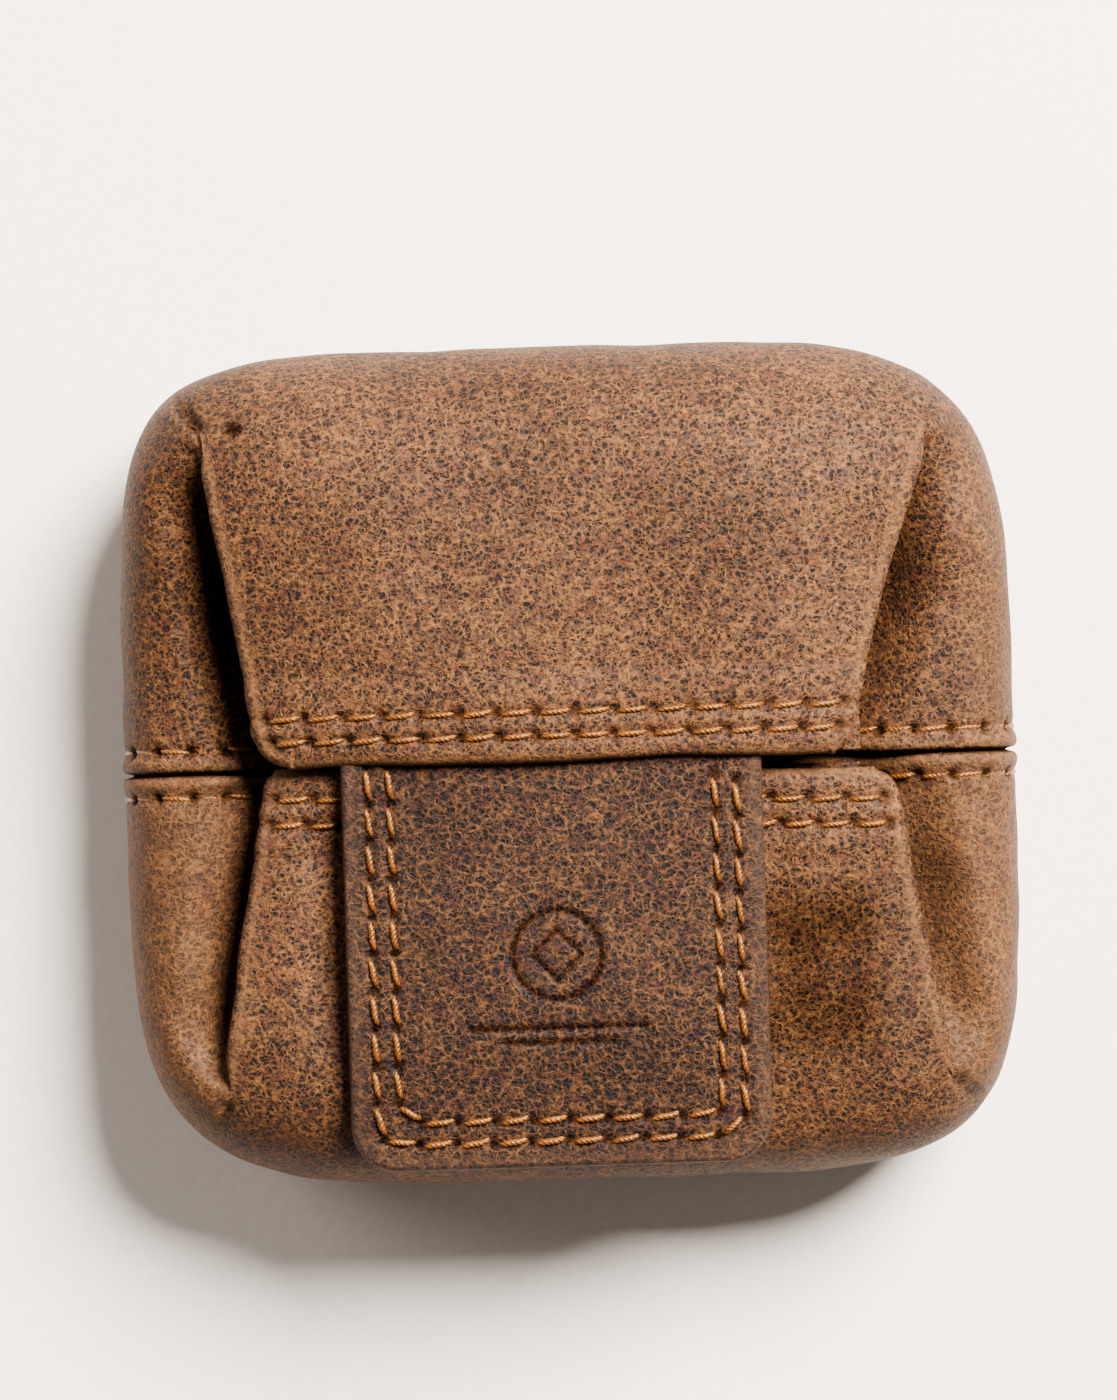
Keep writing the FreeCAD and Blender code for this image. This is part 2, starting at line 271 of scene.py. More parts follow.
def flap_plan(flap, columns, rows):
    """Plan of a flap's face from the lip to the widest outline; y is counted from the mouth."""
    across = np.linspace(-1.0, 1.0, columns)
    ring_x = np.linspace(-flap.left.corner, flap.right.corner, columns)
    ring = outline_towards(ring_x, flap.sign * plain_y(ring_x))
    ring_y = flap.sign * ring[:, 1]
    ends = np.stack([corner_of(flap, -1), corner_of(flap, 1)])
    t = (across + 1) / 2
    base = lerp(ends[0, 1], ends[1, 1], t)
    swell = (ring_y - base) / (HALF_Y - base)
    steps = np.linspace(0.0, 1.0, rows + 1)[:-1]
    lines = [lerp(rim_point(flap, -1, f), rim_point(flap, 1, f), t[:, None]) for f in steps]
    for h in crease_steps(CREASE_ROWS):
        left = lerp(apex_of(flap, -1), ends[0], h)
        right = lerp(apex_of(flap, 1), ends[1], h)
        straight_x, straight_y = lerp(left, right, t[:, None]).T
        middle_y = lerp(straight_y, HALF_Y, h)
        x = lerp(straight_x, ring[:, 0], h)
        lines.append(np.stack([x, straight_y + (middle_y - straight_y) * swell], -1))
    return np.stack(lines)


def flap_rise(flap):
    return flap.top - BELLY_Z


def flap_height(flap, x, y):
    """Height of a flap's face; y is counted from the mouth."""
    z = crown(share(x, flap.sign * y), flap_rise(flap))
    edge = np.where(x < 0, -rim_x(flap, -1, y), rim_x(flap, 1, y))
    side = smooth(np.abs(x) / edge, 0.5, 1.05)
    z = z - flap.drape * side * (1.0 - smooth(y, 18.0, 33.0))
    return z - tab_sag(x, y) if flap.sign < 0 else z


def tab_sag(x, y):
    """The lower flap sinks a little along both sides of the tab that presses on it."""
    along = smooth(y, 2.0, 8.0) * (1.0 - smooth(y, 20.0, 34.0))
    beside_left = 1.5 * hump(x - TAB_LOW[0] - 0.5, 4.0)
    beside_right = 0.8 * hump(x - TAB_HIGH[0] + 0.5, 4.5)
    return (beside_left + beside_right) * along


def flap_point(flap, x, y):
    return np.stack([x, flap.sign * y, flap_height(flap, x, y)], -1)


def gusset_height(side, flap, x, y):
    """Height of a gusset; y is counted from the mouth."""
    apex_y = apex_of(flap, side)[1]
    near_corner = smooth(y, 14.0, apex_y)
    rise = lerp(GUSSET_RISE, flap_rise(flap), near_corner)
    outside = np.abs(x) - np.abs(rim_x(flap, side, y))
    hollow = lerp(0.6, 1.0, smooth(y, 2.0, 14.0)) * (1.0 - smooth(y, 24.0, apex_y))
    dip = GUSSET_DIP[side] * hollow * (1.0 - smooth(outside, -1.0, 7.5))
    return crown(share(x, flap.sign * y), rise) - dip


# ---- relief: small shapes that stand out of the skin or sink into it ----
def soft_waves(points, seed):
    calm = smooth(points[..., 2], 14.0, 25.0)
    wide = 0.20 * waves(points, 22.0, seed) * lerp(0.2, 1.0, calm)
    return wide + 0.07 * waves(points, 8.0, seed + 1)


def dimples(points, holes, depth=0.7, width=0.5):
    """The dips where thread goes through the leather."""
    total = np.zeros(points.shape[:-1])
    for hole in holes:
        near = np.abs(points[..., 0] - hole[0]) + np.abs(points[..., 1] - hole[1]) < 3.0
        if near.any():
            distance = np.linalg.norm(points[near] - hole, axis=-1)
            total[near] = np.maximum(total[near], hump(distance, width))
    return -depth * total


def lip_distance(flap, points):
    return flap.sign * points[..., 1] - flap.lip - flap.tilt * points[..., 0]


def hole_shade(points, holes, width=0.55):
    """1 in the middle of each hole and 0 away from it."""
    return -dimples(points, holes, 1.0, width)


def flap_rows(flap):
    """The holes of each row along a lip, in order from left to right."""
    rows = []
    for distance in flap.rows:
        y = flap.lip + distance
        left = rim_x(flap, -1, y) + 0.4
        right = rim_x(flap, 1, y) - 0.4
        count = int(round((right - left) / PITCH))
        x = np.linspace(left, right, count + 1)
        rows.append(flap_point(flap, x, y + flap.tilt * x))
    return rows


def crease_depth(flap, points):
    """The crease from each apex out to the outline, and a little way down the corner."""
    total = 0.0
    for side in SIDES:
        apex, corner = apex_of(flap, side), corner_of(flap, side)
        start = (apex[0], flap.sign * apex[1])
        end = (corner[0], flap.sign * corner[1])
        distance, t = segment_distance(points, start, end)
        fade = smooth(t, -0.01, 0.12) * (1.0 - smooth(t, 0.5, 1.0))
        total = total + edge_of(flap, side).crease * hump(distance, 0.5) * fade
    return total


def flap_relief(flap, points, holes=()):
    from_lip = lip_distance(flap, points)
    on_top = smooth(points[..., 2], 20.0, 23.0)
    relief = soft_waves(points, 3 if flap.sign > 0 else 17)
    for row in flap.rows:
        relief = relief - 0.13 * hump(from_lip - row, 0.5) * on_top
    relief = relief + 0.14 * (1.0 - smooth(from_lip, HEM_WIDTH - 1.5, HEM_WIDTH + 0.5)) * on_top
    relief = relief - 0.06 * hump(from_lip - HEM_WIDTH - 0.3, 0.7) * on_top
    between_rows = hump(from_lip - 0.5 * (flap.rows[0] + flap.rows[1]), 0.7)
    relief = relief + 0.08 * between_rows * on_top - crease_depth(flap, points)
    return relief + dimples(points, holes)


def darker_patches(flap, points):
    """A darker patch on the lower flap's right, and a small dark spot up on the left."""
    x, y = points[..., 0], points[..., 1]
    if flap.sign > 0:
        return 2.2 * hump(np.hypot(x + 31.8, (y - 33.6) * 1.1), 0.75)
    inside = smooth(x, 11.0, 19.0) * (1.0 - smooth(x, 26.0, 33.5))
    below = smooth(-y, 6.0, 17.0) * (1.0 - smooth(-y, 27.0, 36.0))
    return inside * below * (0.9 + 0.25 * waves(points, 9.0, 7))


def seam_relief(points):
    """The side seam: two turned edges that meet in a groove, and the pull of the thread beside it."""
    off = np.abs(points[..., 1])
    groove = -0.95 * hump(off, 0.2) + 0.28 * hump(off - 0.95, 0.65)
    return groove - 0.16 * hump(off - SEAM_ROW, 0.42)


def fan_folds(points, flap, side):
    """Folds of the gusset that spread from the apex towards the seam."""
    apex = apex_of(flap, side)
    x = points[..., 0] - apex[0]
    y = flap.sign * points[..., 1] - apex[1]
    reach = np.hypot(x, y)
    angle = np.arctan2(-y, side * x)
    total = 0.0
    for place, size in ((1.05, 0.30), (1.3, 0.36), (1.52, 0.30)):
        line = hump((angle - place) * reach, 0.7 + 0.05 * reach)
        total = total + size * line * smooth(reach, 0.8, 3.0) * (1.0 - smooth(reach, 7.0, 15.0))
    return -total


def gusset_relief(flap, side, points, holes=()):
    seed = 31 + 2 * side + flap.sign
    relief = soft_waves(points, seed) * smooth(np.abs(points[..., 1]), 0.0, 5.0)
    relief = relief + seam_relief(points) + fan_folds(points, flap, side) - crease_depth(flap, points)
    return relief + dimples(points, holes)


# ---- meshes ----
def faces_of(rows, columns, start=0, flip=False):
    index = start + np.arange(rows * columns).reshape(rows, columns)
    quads = np.stack([index[:-1, :-1], index[:-1, 1:], index[1:, 1:], index[1:, :-1]], -1)
    quads = quads.reshape(-1, 4)
    return quads[:, ::-1] if flip else quads


def drop_flat_faces(vertices, quads):
    """Leaves out faces that have no area, where a grid runs together in a point."""
    a, b, c, d = (vertices[quads[:, i]] for i in range(4))
    area = np.linalg.norm(np.cross(c - a, d - b), axis=1)
    return quads[area > 1e-5]


def build(name, vertices, quads, wear_and_painted_light=None, dark=None):
    """A mesh object from points in millimetres, with the values that its material reads."""
    vertices = np.asarray(vertices, float).reshape(-1, 3)
    quads = drop_flat_faces(vertices, np.asarray(quads))
    mesh = bpy.data.meshes.new(name)
    mesh.vertices.add(len(vertices))
    mesh.vertices.foreach_set("co", (vertices * MM).astype(np.float32).ravel())
    mesh.loops.add(quads.size)
    mesh.loops.foreach_set("vertex_index", quads.astype(np.int32).ravel())
    mesh.polygons.add(len(quads))
    mesh.polygons.foreach_set("loop_start", np.arange(0, quads.size, 4, dtype=np.int32))
    mesh.polygons.foreach_set("loop_total", np.full(len(quads), 4, dtype=np.int32))
    mesh.update(calc_edges=True)
    mesh.validate()
    mesh.shade_smooth()
    rest = mesh.attributes.new("rest", "FLOAT_VECTOR", "POINT")
    rest.data.foreach_set("vector", vertices.astype(np.float32).ravel())
    for key, values in (("wear_and_painted_light", wear_and_painted_light), ("dark", dark)):
        layer = mesh.attributes.new(key, "FLOAT", "POINT")
        values = np.zeros(len(vertices)) if values is None else np.asarray(values).ravel()
        layer.data.foreach_set("value", values.astype(np.float32))
    piece = bpy.data.objects.new(name, mesh)
    bpy.context.scene.collection.objects.link(piece)
    return piece


def thick_sheet(grid, normals, thickness, flip):
    """Front, back and edges of a sheet. Returns its points and faces; the front comes first."""
    rows, columns = grid.shape[:2]
    count = rows * columns
    points = np.concatenate([grid.reshape(-1, 3), (grid - thickness * normals).reshape(-1, 3)])
    front = faces_of(rows, columns, 0, flip)
    back = faces_of(rows, columns, count, not flip)
    index = np.arange(count).reshape(rows, columns)
    loop = np.concatenate([index[0, :-1], index[:-1, -1], index[-1, :0:-1], index[:0:-1, 0]])
    after = np.roll(loop, -1)
    edge = np.stack([loop, loop + count, after + count, after], -1)
    return points, np.concatenate([front, back, edge[:, ::-1] if flip else edge])


def cloth_sheet(name, grid, gap, flip):
    """Lining cloth behind a leather's grid, a gap below its front."""
    normals = grid_normals(grid, flip)
    points, quads = thick_sheet(grid - normals * gap, normals, CLOTH_THICKNESS, flip)
    return build(name, points, quads)


def wall_rows(ring, base_rows=34):
    """Rows that go down the wall from the widest outline, and under the foot."""
    heights = np.linspace(BELLY_Z, FOOT_Z, base_rows + 1)[1:]
    lines = [at_height(ring * wall_share(z), z) for z in heights]
    for inward, z in ((0.012, 0.3), (0.028, 0.05), (0.05, 0.0), (0.075, 0.0)):
        lines.append(at_height(ring * (wall_share(FOOT_Z) - inward), z))
    return np.stack(lines)


def lip_profile(flap):
    """Offsets (towards the mouth, down) from the lip's top edge, from the hem's end to that edge."""
    radius = flap.hem / 2
    hem = [(-d, flap.hem) for d in np.linspace(HEM_WIDTH - radius, 0.5, 14)]
    turns = np.linspace(math.pi, 0.0, 10)[:-1]
    arc = [(radius * math.sin(a), radius * (1.0 - math.cos(a))) for a in turns]
    return np.array(hem + arc)


def rim_profile(flap):
    """Offsets (outward, down) from the side edge's top, round the fold and back under."""
    turns = np.linspace(0.0, math.pi, 10)[1:]
    arc = [(flap.rim * math.sin(a), flap.rim * (1.0 - math.cos(a))) for a in turns]
    under = [(-d, 2.0 * flap.rim + 0.1) for d in (0.7, 1.5, 2.6)]
    return np.array(arc + under)


def flap_grid(flap):
    """Face, rolled lip and wall of one half's leather, before its side edges are folded under and before
    its relief.
    """
    rows = int((flap.left.apex[1] - flap.lip) / SPACING)
    columns = int((flap.left.half_width + flap.right.half_width + 10.0) / SPACING)
    plan = flap_plan(flap, columns, rows)
    top = flap_point(flap, plan[..., 0], plan[..., 1])
    ring = top[-1, :, :2]
    grid = np.concatenate([top, wall_rows(ring)])
    profile = lip_profile(flap)
    lead = np.stack([top[0] + np.array([0.0, -flap.sign * out, -down]) for out, down in profile])
    grid = np.concatenate([lead, grid])
    drop = np.concatenate([profile[:, 1], np.zeros(len(grid) - len(profile))]) / flap.hem
    return grid, drop, len(profile), rows


def folded_rims(flap, grid, drop, lead, rows):
    """Adds the columns that fold each side edge under, from the lip to the apex."""
    turned = np.clip((np.arange(len(grid)) - lead) / rows, 0.0, 1.0)
    size = np.where(turned < 1.0, 1.0 - smooth(turned, 0.86, 1.0), 0.0)[:, None]
    clear = np.clip(1.0 - 2.0 * drop[:, None], 0.0, 1.0) ** 2
    parts = [grid]
    for side, column in ((-1, 0), (1, -1)):
        edge = grid[:, column]
        run = unit(np.gradient(edge[:, :2], axis=0))
        run[:lead + 1] = run[lead + 1]
        forward = side * np.abs(run[:, 1])
        outward = unit(np.stack([forward, -forward * run[:, 0] / run[:, 1]], -1))
        fold = []
        for out, down in rim_profile(flap):
            moved = edge.copy()
            moved[:, :2] += outward * out * size * clear
            moved[:, 2] -= down * size[:, 0] * (1.0 - drop)
            fold.append(moved)
        fold = np.stack(fold, 1)
        parts = [fold[:, ::-1]] + parts if side < 0 else parts + [fold]
    return np.concatenate(parts, 1)


def flap_shades(flap, grid, holes, to_side, beside_face):
    """How worn and how dark each point of a flap's leather is, with painted shade in the holes and the
    crease.
    """
    from_lip = lip_distance(flap, grid)
    rim = hump(to_side * SPACING, 0.45)[None, :] * beside_face
    wear_and_painted_light = 0.8 * rim + 0.8 * hump(from_lip - 0.1, 0.5) * (grid[..., 2] > 20.0)
    # Painted shade in the holes and along the crease.
    dark = hole_shade(grid, holes) + 0.6 * crease_depth(flap, grid)
    dark = dark + 0.62 * darker_patches(flap, grid)
    return np.clip(wear_and_painted_light, 0, 1), np.clip(dark, 0, 1)


def flap_shell(flap):
    """The leather of one half: wall, face, lip and folded side edges."""
    base, drop, lead, rows = flap_grid(flap)
    grid = folded_rims(flap, base, drop, lead, rows)
    side_columns = len(rim_profile(flap))
    flip = flap.sign < 0
    normals = grid_normals(grid, flip)
    holes = np.concatenate(flap_rows(flap))
    relief = flap_relief(flap, grid, holes)
    relief[:lead] = relief[lead]
    grid = grid + normals * relief[..., None]
    grid[..., 2] = np.maximum(grid[..., 2], 0.0)
    apex_row = lead + rows
    grid[apex_row:, :side_columns] = grid[apex_row:, side_columns, None]
    grid[apex_row:, -side_columns:] = grid[apex_row:, -1 - side_columns, None]
    column = np.arange(grid.shape[1])
    to_side = np.minimum(column, grid.shape[1] - 1 - column) - side_columns
    beside_face = np.arange(grid.shape[0])[:, None] < apex_row
    wear_and_painted_light, dark = flap_shades(flap, grid, holes, to_side, beside_face)
    piece = build(flap.name + "_leather", grid, faces_of(*grid.shape[:2], 0, flip), wear_and_painted_light, dark)
    sides = {-1: grid[apex_row:, side_columns], 1: grid[apex_row:, -1 - side_columns]}
    return piece, grid, sides


# ---- gussets ----
def seam_curve(side, flap):
    """The skin along a side seam's row of thread, from under the flap out and down to the foot."""
    y = SEAM_ROW
    over = np.linspace(0.0, 1.0, 160)
    x = side * lerp(SEAM_INNER_X, plain_x(y), 1.0 - (1.0 - over) ** 2.2)
    z = gusset_height(side, flap, x, np.full_like(x, y))
    down = np.linspace(BELLY_Z, SEAM_LOW_Z, 60)[1:]
    x = np.concatenate([x, side * plain_x(y) * wall_share(down)])
    z = np.concatenate([z, down])
    return np.stack([x, np.full_like(x, flap.sign * y), z], -1)


def evenly(curve, pitch):
    """Points a pitch apart along a curve, starting at its first point."""
    lengths = np.concatenate([[0.0], np.cumsum(np.linalg.norm(np.diff(curve, axis=0), axis=1))])
    places = np.arange(0.0, lengths[-1], pitch)
    return np.stack([np.interp(places, lengths, curve[:, i]) for i in range(3)], -1)


def hidden_edge(flap, side, t):
    """The gusset's own edge: it nears the flap's side edge on the way from the seam to the apex."""
    y = t * apex_of(flap, side)[1]
    inset = np.abs(rim_x(flap, side, 0.0)) - CREASE_X
    return np.array([rim_x(flap, side, y) - side * inset * (1.0 - t) ** 2, y])


def gusset_grid(side, flap):
    """Gusset and side wall of one quarter, from the seam to the corner, before its relief."""
    near_seam = [0.0, 0.1, 0.2, 0.32, 0.48, 0.68, 0.92]
    corner_y = plain_y(edge_of(flap, side).corner)
    y_values = np.concatenate([near_seam, np.linspace(1.25, corner_y, int(corner_y / SPACING))])
    steps = crease_steps(CREASE_ROWS)
    lines, walls = [], []
    for y in y_values:
        outer = outline_towards(np.array(side * plain_x(y)), np.array(flap.sign * max(y, 1e-6)))
        walls.append(outer)
        inner = hidden_edge(flap, side, y / corner_y)
        plan = lerp(inner[None, :], outer[None, :] * np.array([1.0, flap.sign]), steps[:, None])
        z = gusset_height(side, flap, plan[:, 0], plan[:, 1])
        lines.append(np.stack([plan[:, 0], flap.sign * plan[:, 1], z], -1))
    top = np.stack(lines, 1)
    return np.concatenate([top, wall_rows(np.stack(walls))])


def gusset_shades(side, flap, base, holes):
    """How worn and how dark each point of a gusset's leather is, with painted light and painted shade in
    it.
    """
    from_mouth = flap.sign * base[..., 1]
    outside = np.abs(base[..., 0]) - np.abs(rim_x(flap, side, from_mouth))
    # Painted shade where the gusset goes in under its flap.
    hidden = 1.0 - smooth(outside, -1.0, SHADE_WIDTH[side, flap.sign])
    # Painted shade in the holes and the crease, and a dark line along the seam.
    dark = hole_shade(base, holes) + hump(base[..., 1], 0.28) + 0.6 * crease_depth(flap, base)
    dark = dark + 0.7 * hidden * (base[..., 2] > BELLY_Z + 1.0) * (1.0 - smooth(from_mouth, 27.0, 33.0))
    # Painted light: the lower gussets and the outer part of the upper right gusset are drawn paler, as if
    # more lit.
    painted_light = 0.34 if flap.sign < 0 else 0.34 * smooth(base[..., 0], 36.0, 43.0)
    wear_and_painted_light = 0.4 * hump(np.abs(base[..., 1]) - 0.9, 0.5) + painted_light
    return wear_and_painted_light, np.clip(dark, 0, 1)


def gusset_shell(side, flap, shared_edge):
    """One quarter's gusset and side wall; its last column is the flap leather's own edge."""
    base = gusset_grid(side, flap)
    flip = side * flap.sign > 0
    normals = grid_normals(base, flip)
    holes = evenly(seam_curve(side, flap), PITCH)
    grid = base + normals * gusset_relief(flap, side, base, holes)[..., None]
    pull = shared_edge - grid[:, -1]
    fade = 1.0 - smooth(np.arange(grid.shape[1])[::-1] * SPACING, 0.0, 3.0)
    grid = grid + pull[:, None, :] * fade[None, :, None]
    grid[:, 0, 1] = 0.0
    grid[..., 2] = np.maximum(grid[..., 2], 0.0)
    points, quads = thick_sheet(grid, grid_normals(grid, flip), LEATHER, flip)
    front_and_back = [np.tile(layer.ravel(), 2) for layer in gusset_shades(side, flap, base, holes)]
    piece = build(side_word(side) + "_gusset_leather_" + flap.name, points, quads, *front_and_back)
    return piece, grid


# ---- pleats ----
def pleat(side, flap):
    """The leather that turns back under a flap's side edge, down to its hidden crease."""
    apex = apex_of(flap, side)
    f = np.linspace(0.03, 0.92, 66)
    root = rim_point(flap, side, f)
    inner = lerp(np.array([side * CREASE_X, 0.3]), apex, f[:, None])
    t = np.linspace(0.0, 1.0, 50)
    plan = lerp(root[:, None, :], inner[:, None, :], t[None, :, None])
    fold = lerp(2.0 * flap.rim - 0.6, 0.9, smooth(f, 0.86, 1.0))
    root_z = (flap_height(flap, root[:, 0], root[:, 1]) - fold)[:, None]
    below = gusset_height(side, flap, plan[..., 0], plan[..., 1]) + 0.6
    z = lerp(root_z, np.minimum(below, root_z), smooth(t, 0.0, 0.35)[None, :])
    grid = np.stack([plan[..., 0], flap.sign * plan[..., 1], z], -1)
    flip = side * flap.sign > 0
    normals = grid_normals(grid, flip)
    grid = grid + normals * (0.12 * waves(grid, 12.0, 57 + side))[..., None]
    points, quads = thick_sheet(grid, normals, PLEAT_LEATHER, flip)
    name = f"{flap.name}_{side_word(side)}_pleat_leather"
    # Painted shade: the whole pleat is drawn a little darker, as it lies under the flap's edge.
    return build(name, points, quads, None, np.full(len(points), 0.25))


# ---- thread ----
def ply_tube(path, radius, plies=3, turns=2.3, around=16):
    """A twisted thread along a path, pointed at both ends, and how deep each point lies in the twist."""
    tangent = unit(np.gradient(path, axis=0))
    guide = np.array([0.13, 0.21, 0.97])
    first = unit(np.cross(tangent, guide))
    second = np.cross(tangent, first)
    steps = np.linspace(0.0, 1.0, len(path))
    angle = np.linspace(0.0, 2.0 * math.pi, around, endpoint=False)
    twist = steps[:, None] * turns * 2.0 * math.pi
    lobes = np.abs(np.cos(0.5 * plies * (angle[None, :] - twist)))
    taper = np.sqrt(np.clip(1.0 - np.abs(2.0 * steps - 1.0) ** 3.5, 0.0, 1.0))
    size = radius * (0.80 + 0.28 * lobes) * taper[:, None]
    ring = first[:, None] * np.cos(angle)[None, :, None] + second[:, None] * np.sin(angle)[None, :, None]
    return path[:, None] + ring * size[..., None], (1.0 - lobes) ** 2


def tube_faces(rows, around, start):
    index = start + np.arange(rows * around).reshape(rows, around)
    right = np.roll(index, -1, axis=1)
    return np.stack([index[:-1], right[:-1], right[1:], index[1:]], -1).reshape(-1, 4)


def stitches(name, holes, normals, lean, seed, radius=THREAD_RADIUS, proud=0.12):
    """A row of stitches from hole to hole, each leaning across the row and sinking at its ends."""
    rng = np.random.default_rng(seed)
    vertices, quads, dark, count = [], [], [], 0
    t = np.linspace(0.0, 1.0, 41)[:, None]
    for start, end, first, second in zip(holes[:-1], holes[1:], normals[:-1], normals[1:]):
        normal = unit(first + second)
        along = unit(end - start)
        across = np.cross(normal, along)
        slant = lean * (1.0 + 0.25 * rng.normal())
        height = proud * (1.0 + 0.2 * rng.normal())
        path = lerp(start + 0.34 * along, end - 0.26 * along, t)
        path = path + across * slant * (t - 0.5 + 0.12 * np.sin(2.0 * math.pi * t))
        path = path + normal * (height * np.sin(math.pi * t) ** 0.7 - 0.5 * np.abs(2.0 * t - 1.0) ** 3.5)
        tube, depth = ply_tube(path, radius * (1.0 + 0.05 * rng.normal()))
        vertices.append(tube.reshape(-1, 3))
        quads.append(tube_faces(tube.shape[0], tube.shape[1], count))
        # Painted shade between the plies and at both ends, where the thread goes into its holes.
        dark.append((0.8 * depth + 0.5 * np.abs(2.0 * t - 1.0) ** 6).ravel())
        count += depth.size
    dark = np.clip(np.concatenate(dark), 0.0, 1.0)
    return build(name, np.concatenate(vertices), np.concatenate(quads), None, dark)


def normals_along(curve, places, across):
    """Normals of a surface at places on a curve, given the direction across the curve."""
    tangents = unit(np.gradient(curve, axis=0))
    nearest = [int(np.argmin(np.linalg.norm(curve - place, axis=1))) for place in places]
    return unit(np.cross(tangents[nearest], across))


def flap_normals(flap, points, step=0.3):
    x, y = points[:, 0], flap.sign * points[:, 1]
    dx = (flap_height(flap, x + step, y) - flap_height(flap, x - step, y)) / (2 * step)
    dy = (flap_height(flap, x, y + step) - flap_height(flap, x, y - step)) / (2 * step)
    return unit(np.stack([-dx, -flap.sign * dy, np.ones_like(x)], -1))


def lip_threads(flap):
    for i, (holes, row) in enumerate(zip(flap_rows(flap), ROW_WORDS)):
        normals = flap_normals(flap, holes)
        holes = holes + normals * flap_relief(flap, holes)[:, None]
        name = f"{flap.name}_lip_thread_{row}_twist"
        piece = stitches(name, holes, normals, lean=0.55, seed=11 + i)
        finish_piece(piece, THREAD)
        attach(piece, flap.name + "_flap")
        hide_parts(f"{flap.name}_lip_thread_{row}")


def seam_threads(side, flap):
    side_name = side_word(side)
    curve = seam_curve(side, flap)
    holes = evenly(curve, PITCH)
    normals = normals_along(curve, holes, np.array([0.0, side, 0.0]))
    holes = holes + normals * gusset_relief(flap, side, holes)[:, None]
    name = f"{side_name}_seam_thread_{flap.name}"
    piece = stitches(name, holes, normals, lean=0.5 * side, seed=23 + side, radius=0.27, proud=0.04)
    finish_piece(piece, THREAD)
    gusset_bend(piece)
    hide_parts(f"{side_name}_gusset_thread_{flap.name}", f"{side_name}_wall_thread_{flap.name}")


# ---- the tab ----
TAB_RIM = 0.6
TAB_CORNER = 4.5
TAB_ROWS = (2.6, 4.7)          # how far inside the edge each row of thread runs
TAB_SPACING = 0.27             # between the points of the tab's mesh
MARK_DEPTH = 0.4
MARK_Y = -18.5
MARK_RING, MARK_DIAMOND = 4.3, 2.4
MARK_RULES = ((7.1, 8.6), (8.5, 5.4))      # each rule's distance below the mark, and half its length


def tab_height(x, y):
    """Height of the tab's face: a low swell over its magnet, and a droop towards its tip."""
    droop = 0.9 * smooth(-y, 24.0, 44.0)
    sides = 0.25 * np.abs((x - TAB_MIDDLE) / TAB_HALF) ** 4
    lift = 0.35 * hump(np.hypot(x - TAB_MIDDLE, y + 22.0), 13.0)
    return TAB_HIGH[2] - droop - sides + lift


def tab_half_width(y, tip, radius):
    """Half width of the tab's face at each y, round at its two free corners."""
    below = np.clip(tip + radius - y, 0.0, radius)
    return TAB_HALF - TAB_RIM - radius + np.sqrt(np.maximum(radius ** 2 - below ** 2, 0.0))


def tab_path(inset, start_y):
    """A line that follows the tab's three free sides, drawn in by inset."""
    half = TAB_HALF - inset
    tip = TAB_LOW[1] + inset
    radius = max(TAB_CORNER - inset, 1.2)
    angles = np.linspace(0.0, math.pi / 2, 14)
    left = np.stack([np.full(40, -half), np.linspace(start_y, tip + radius, 40)], -1)
    turn = np.stack([-half + radius - radius * np.cos(angles), tip + radius - radius * np.sin(angles)], -1)
    foot = np.stack([np.linspace(-half + radius, 0.0, 30), np.full(30, tip)], -1)
    one = np.concatenate([left, turn[1:], foot[1:]])
    other = one[::-1][1:] * np.array([-1.0, 1.0])
    path = np.concatenate([one, other])
    x, y = path[:, 0] + TAB_MIDDLE, path[:, 1]
    return np.stack([x, y, tab_height(x, y)], -1)


def mark_depth(x, y):
    """A plain pressed mark: a ring round a four-pointed diamond, over two rules."""
    dx, dy = x - TAB_MIDDLE, y - MARK_Y
    ring = hump(np.hypot(dx, dy) - MARK_RING, 0.28)
    diamond = hump(np.abs(dx) + np.abs(dy) - MARK_DIAMOND, 0.30)
    rules = 0.0
    for below, half in MARK_RULES:
        rules = rules + hump(dy + below, 0.26) * (1.0 - smooth(np.abs(dx), half, half + 0.4))
    return np.clip(ring + diamond + rules, 0.0, 1.0)


def tab_relief(points, holes=()):
    relief = 0.05 * waves(points, 11.0, 71)
    distance = tab_edge_distance(points)
    for inset in TAB_ROWS:
        relief = relief - 0.1 * hump(distance - inset, 0.45)
    relief = relief - MARK_DEPTH * mark_depth(points[..., 0], points[..., 1])
    return relief + dimples(points, holes, 0.36, 0.4)


def tab_edge_distance(points):
    """How far inside the tab's free sides a point lies."""
    side = TAB_HALF - np.abs(points[..., 0] - TAB_MIDDLE)
    foot = points[..., 1] - TAB_LOW[1]
    in_corner = (side < TAB_CORNER) & (foot < TAB_CORNER)
    round_corner = TAB_CORNER - np.hypot(TAB_CORNER - side, TAB_CORNER - foot)
    return np.where(in_corner, round_corner, np.minimum(side, foot))


def tab_face():
    radius = TAB_CORNER - TAB_RIM
    tip = TAB_LOW[1] + TAB_RIM
    turn = np.linspace(0.0, math.pi / 2, 16)
    y_values = np.concatenate([
        np.arange(UPPER.lip + 1.6, tip + radius, -TAB_SPACING),
        tip + radius - radius * np.sin(turn),
    ])
    across = np.linspace(-1.0, 1.0, int((TAB_HIGH[0] - TAB_LOW[0]) / TAB_SPACING))
    x = TAB_MIDDLE + across[None, :] * tab_half_width(y_values, tip, radius)[:, None]
    y = np.repeat(y_values[:, None], len(across), 1)
    return np.stack([x, y, tab_height(x, y)], -1)


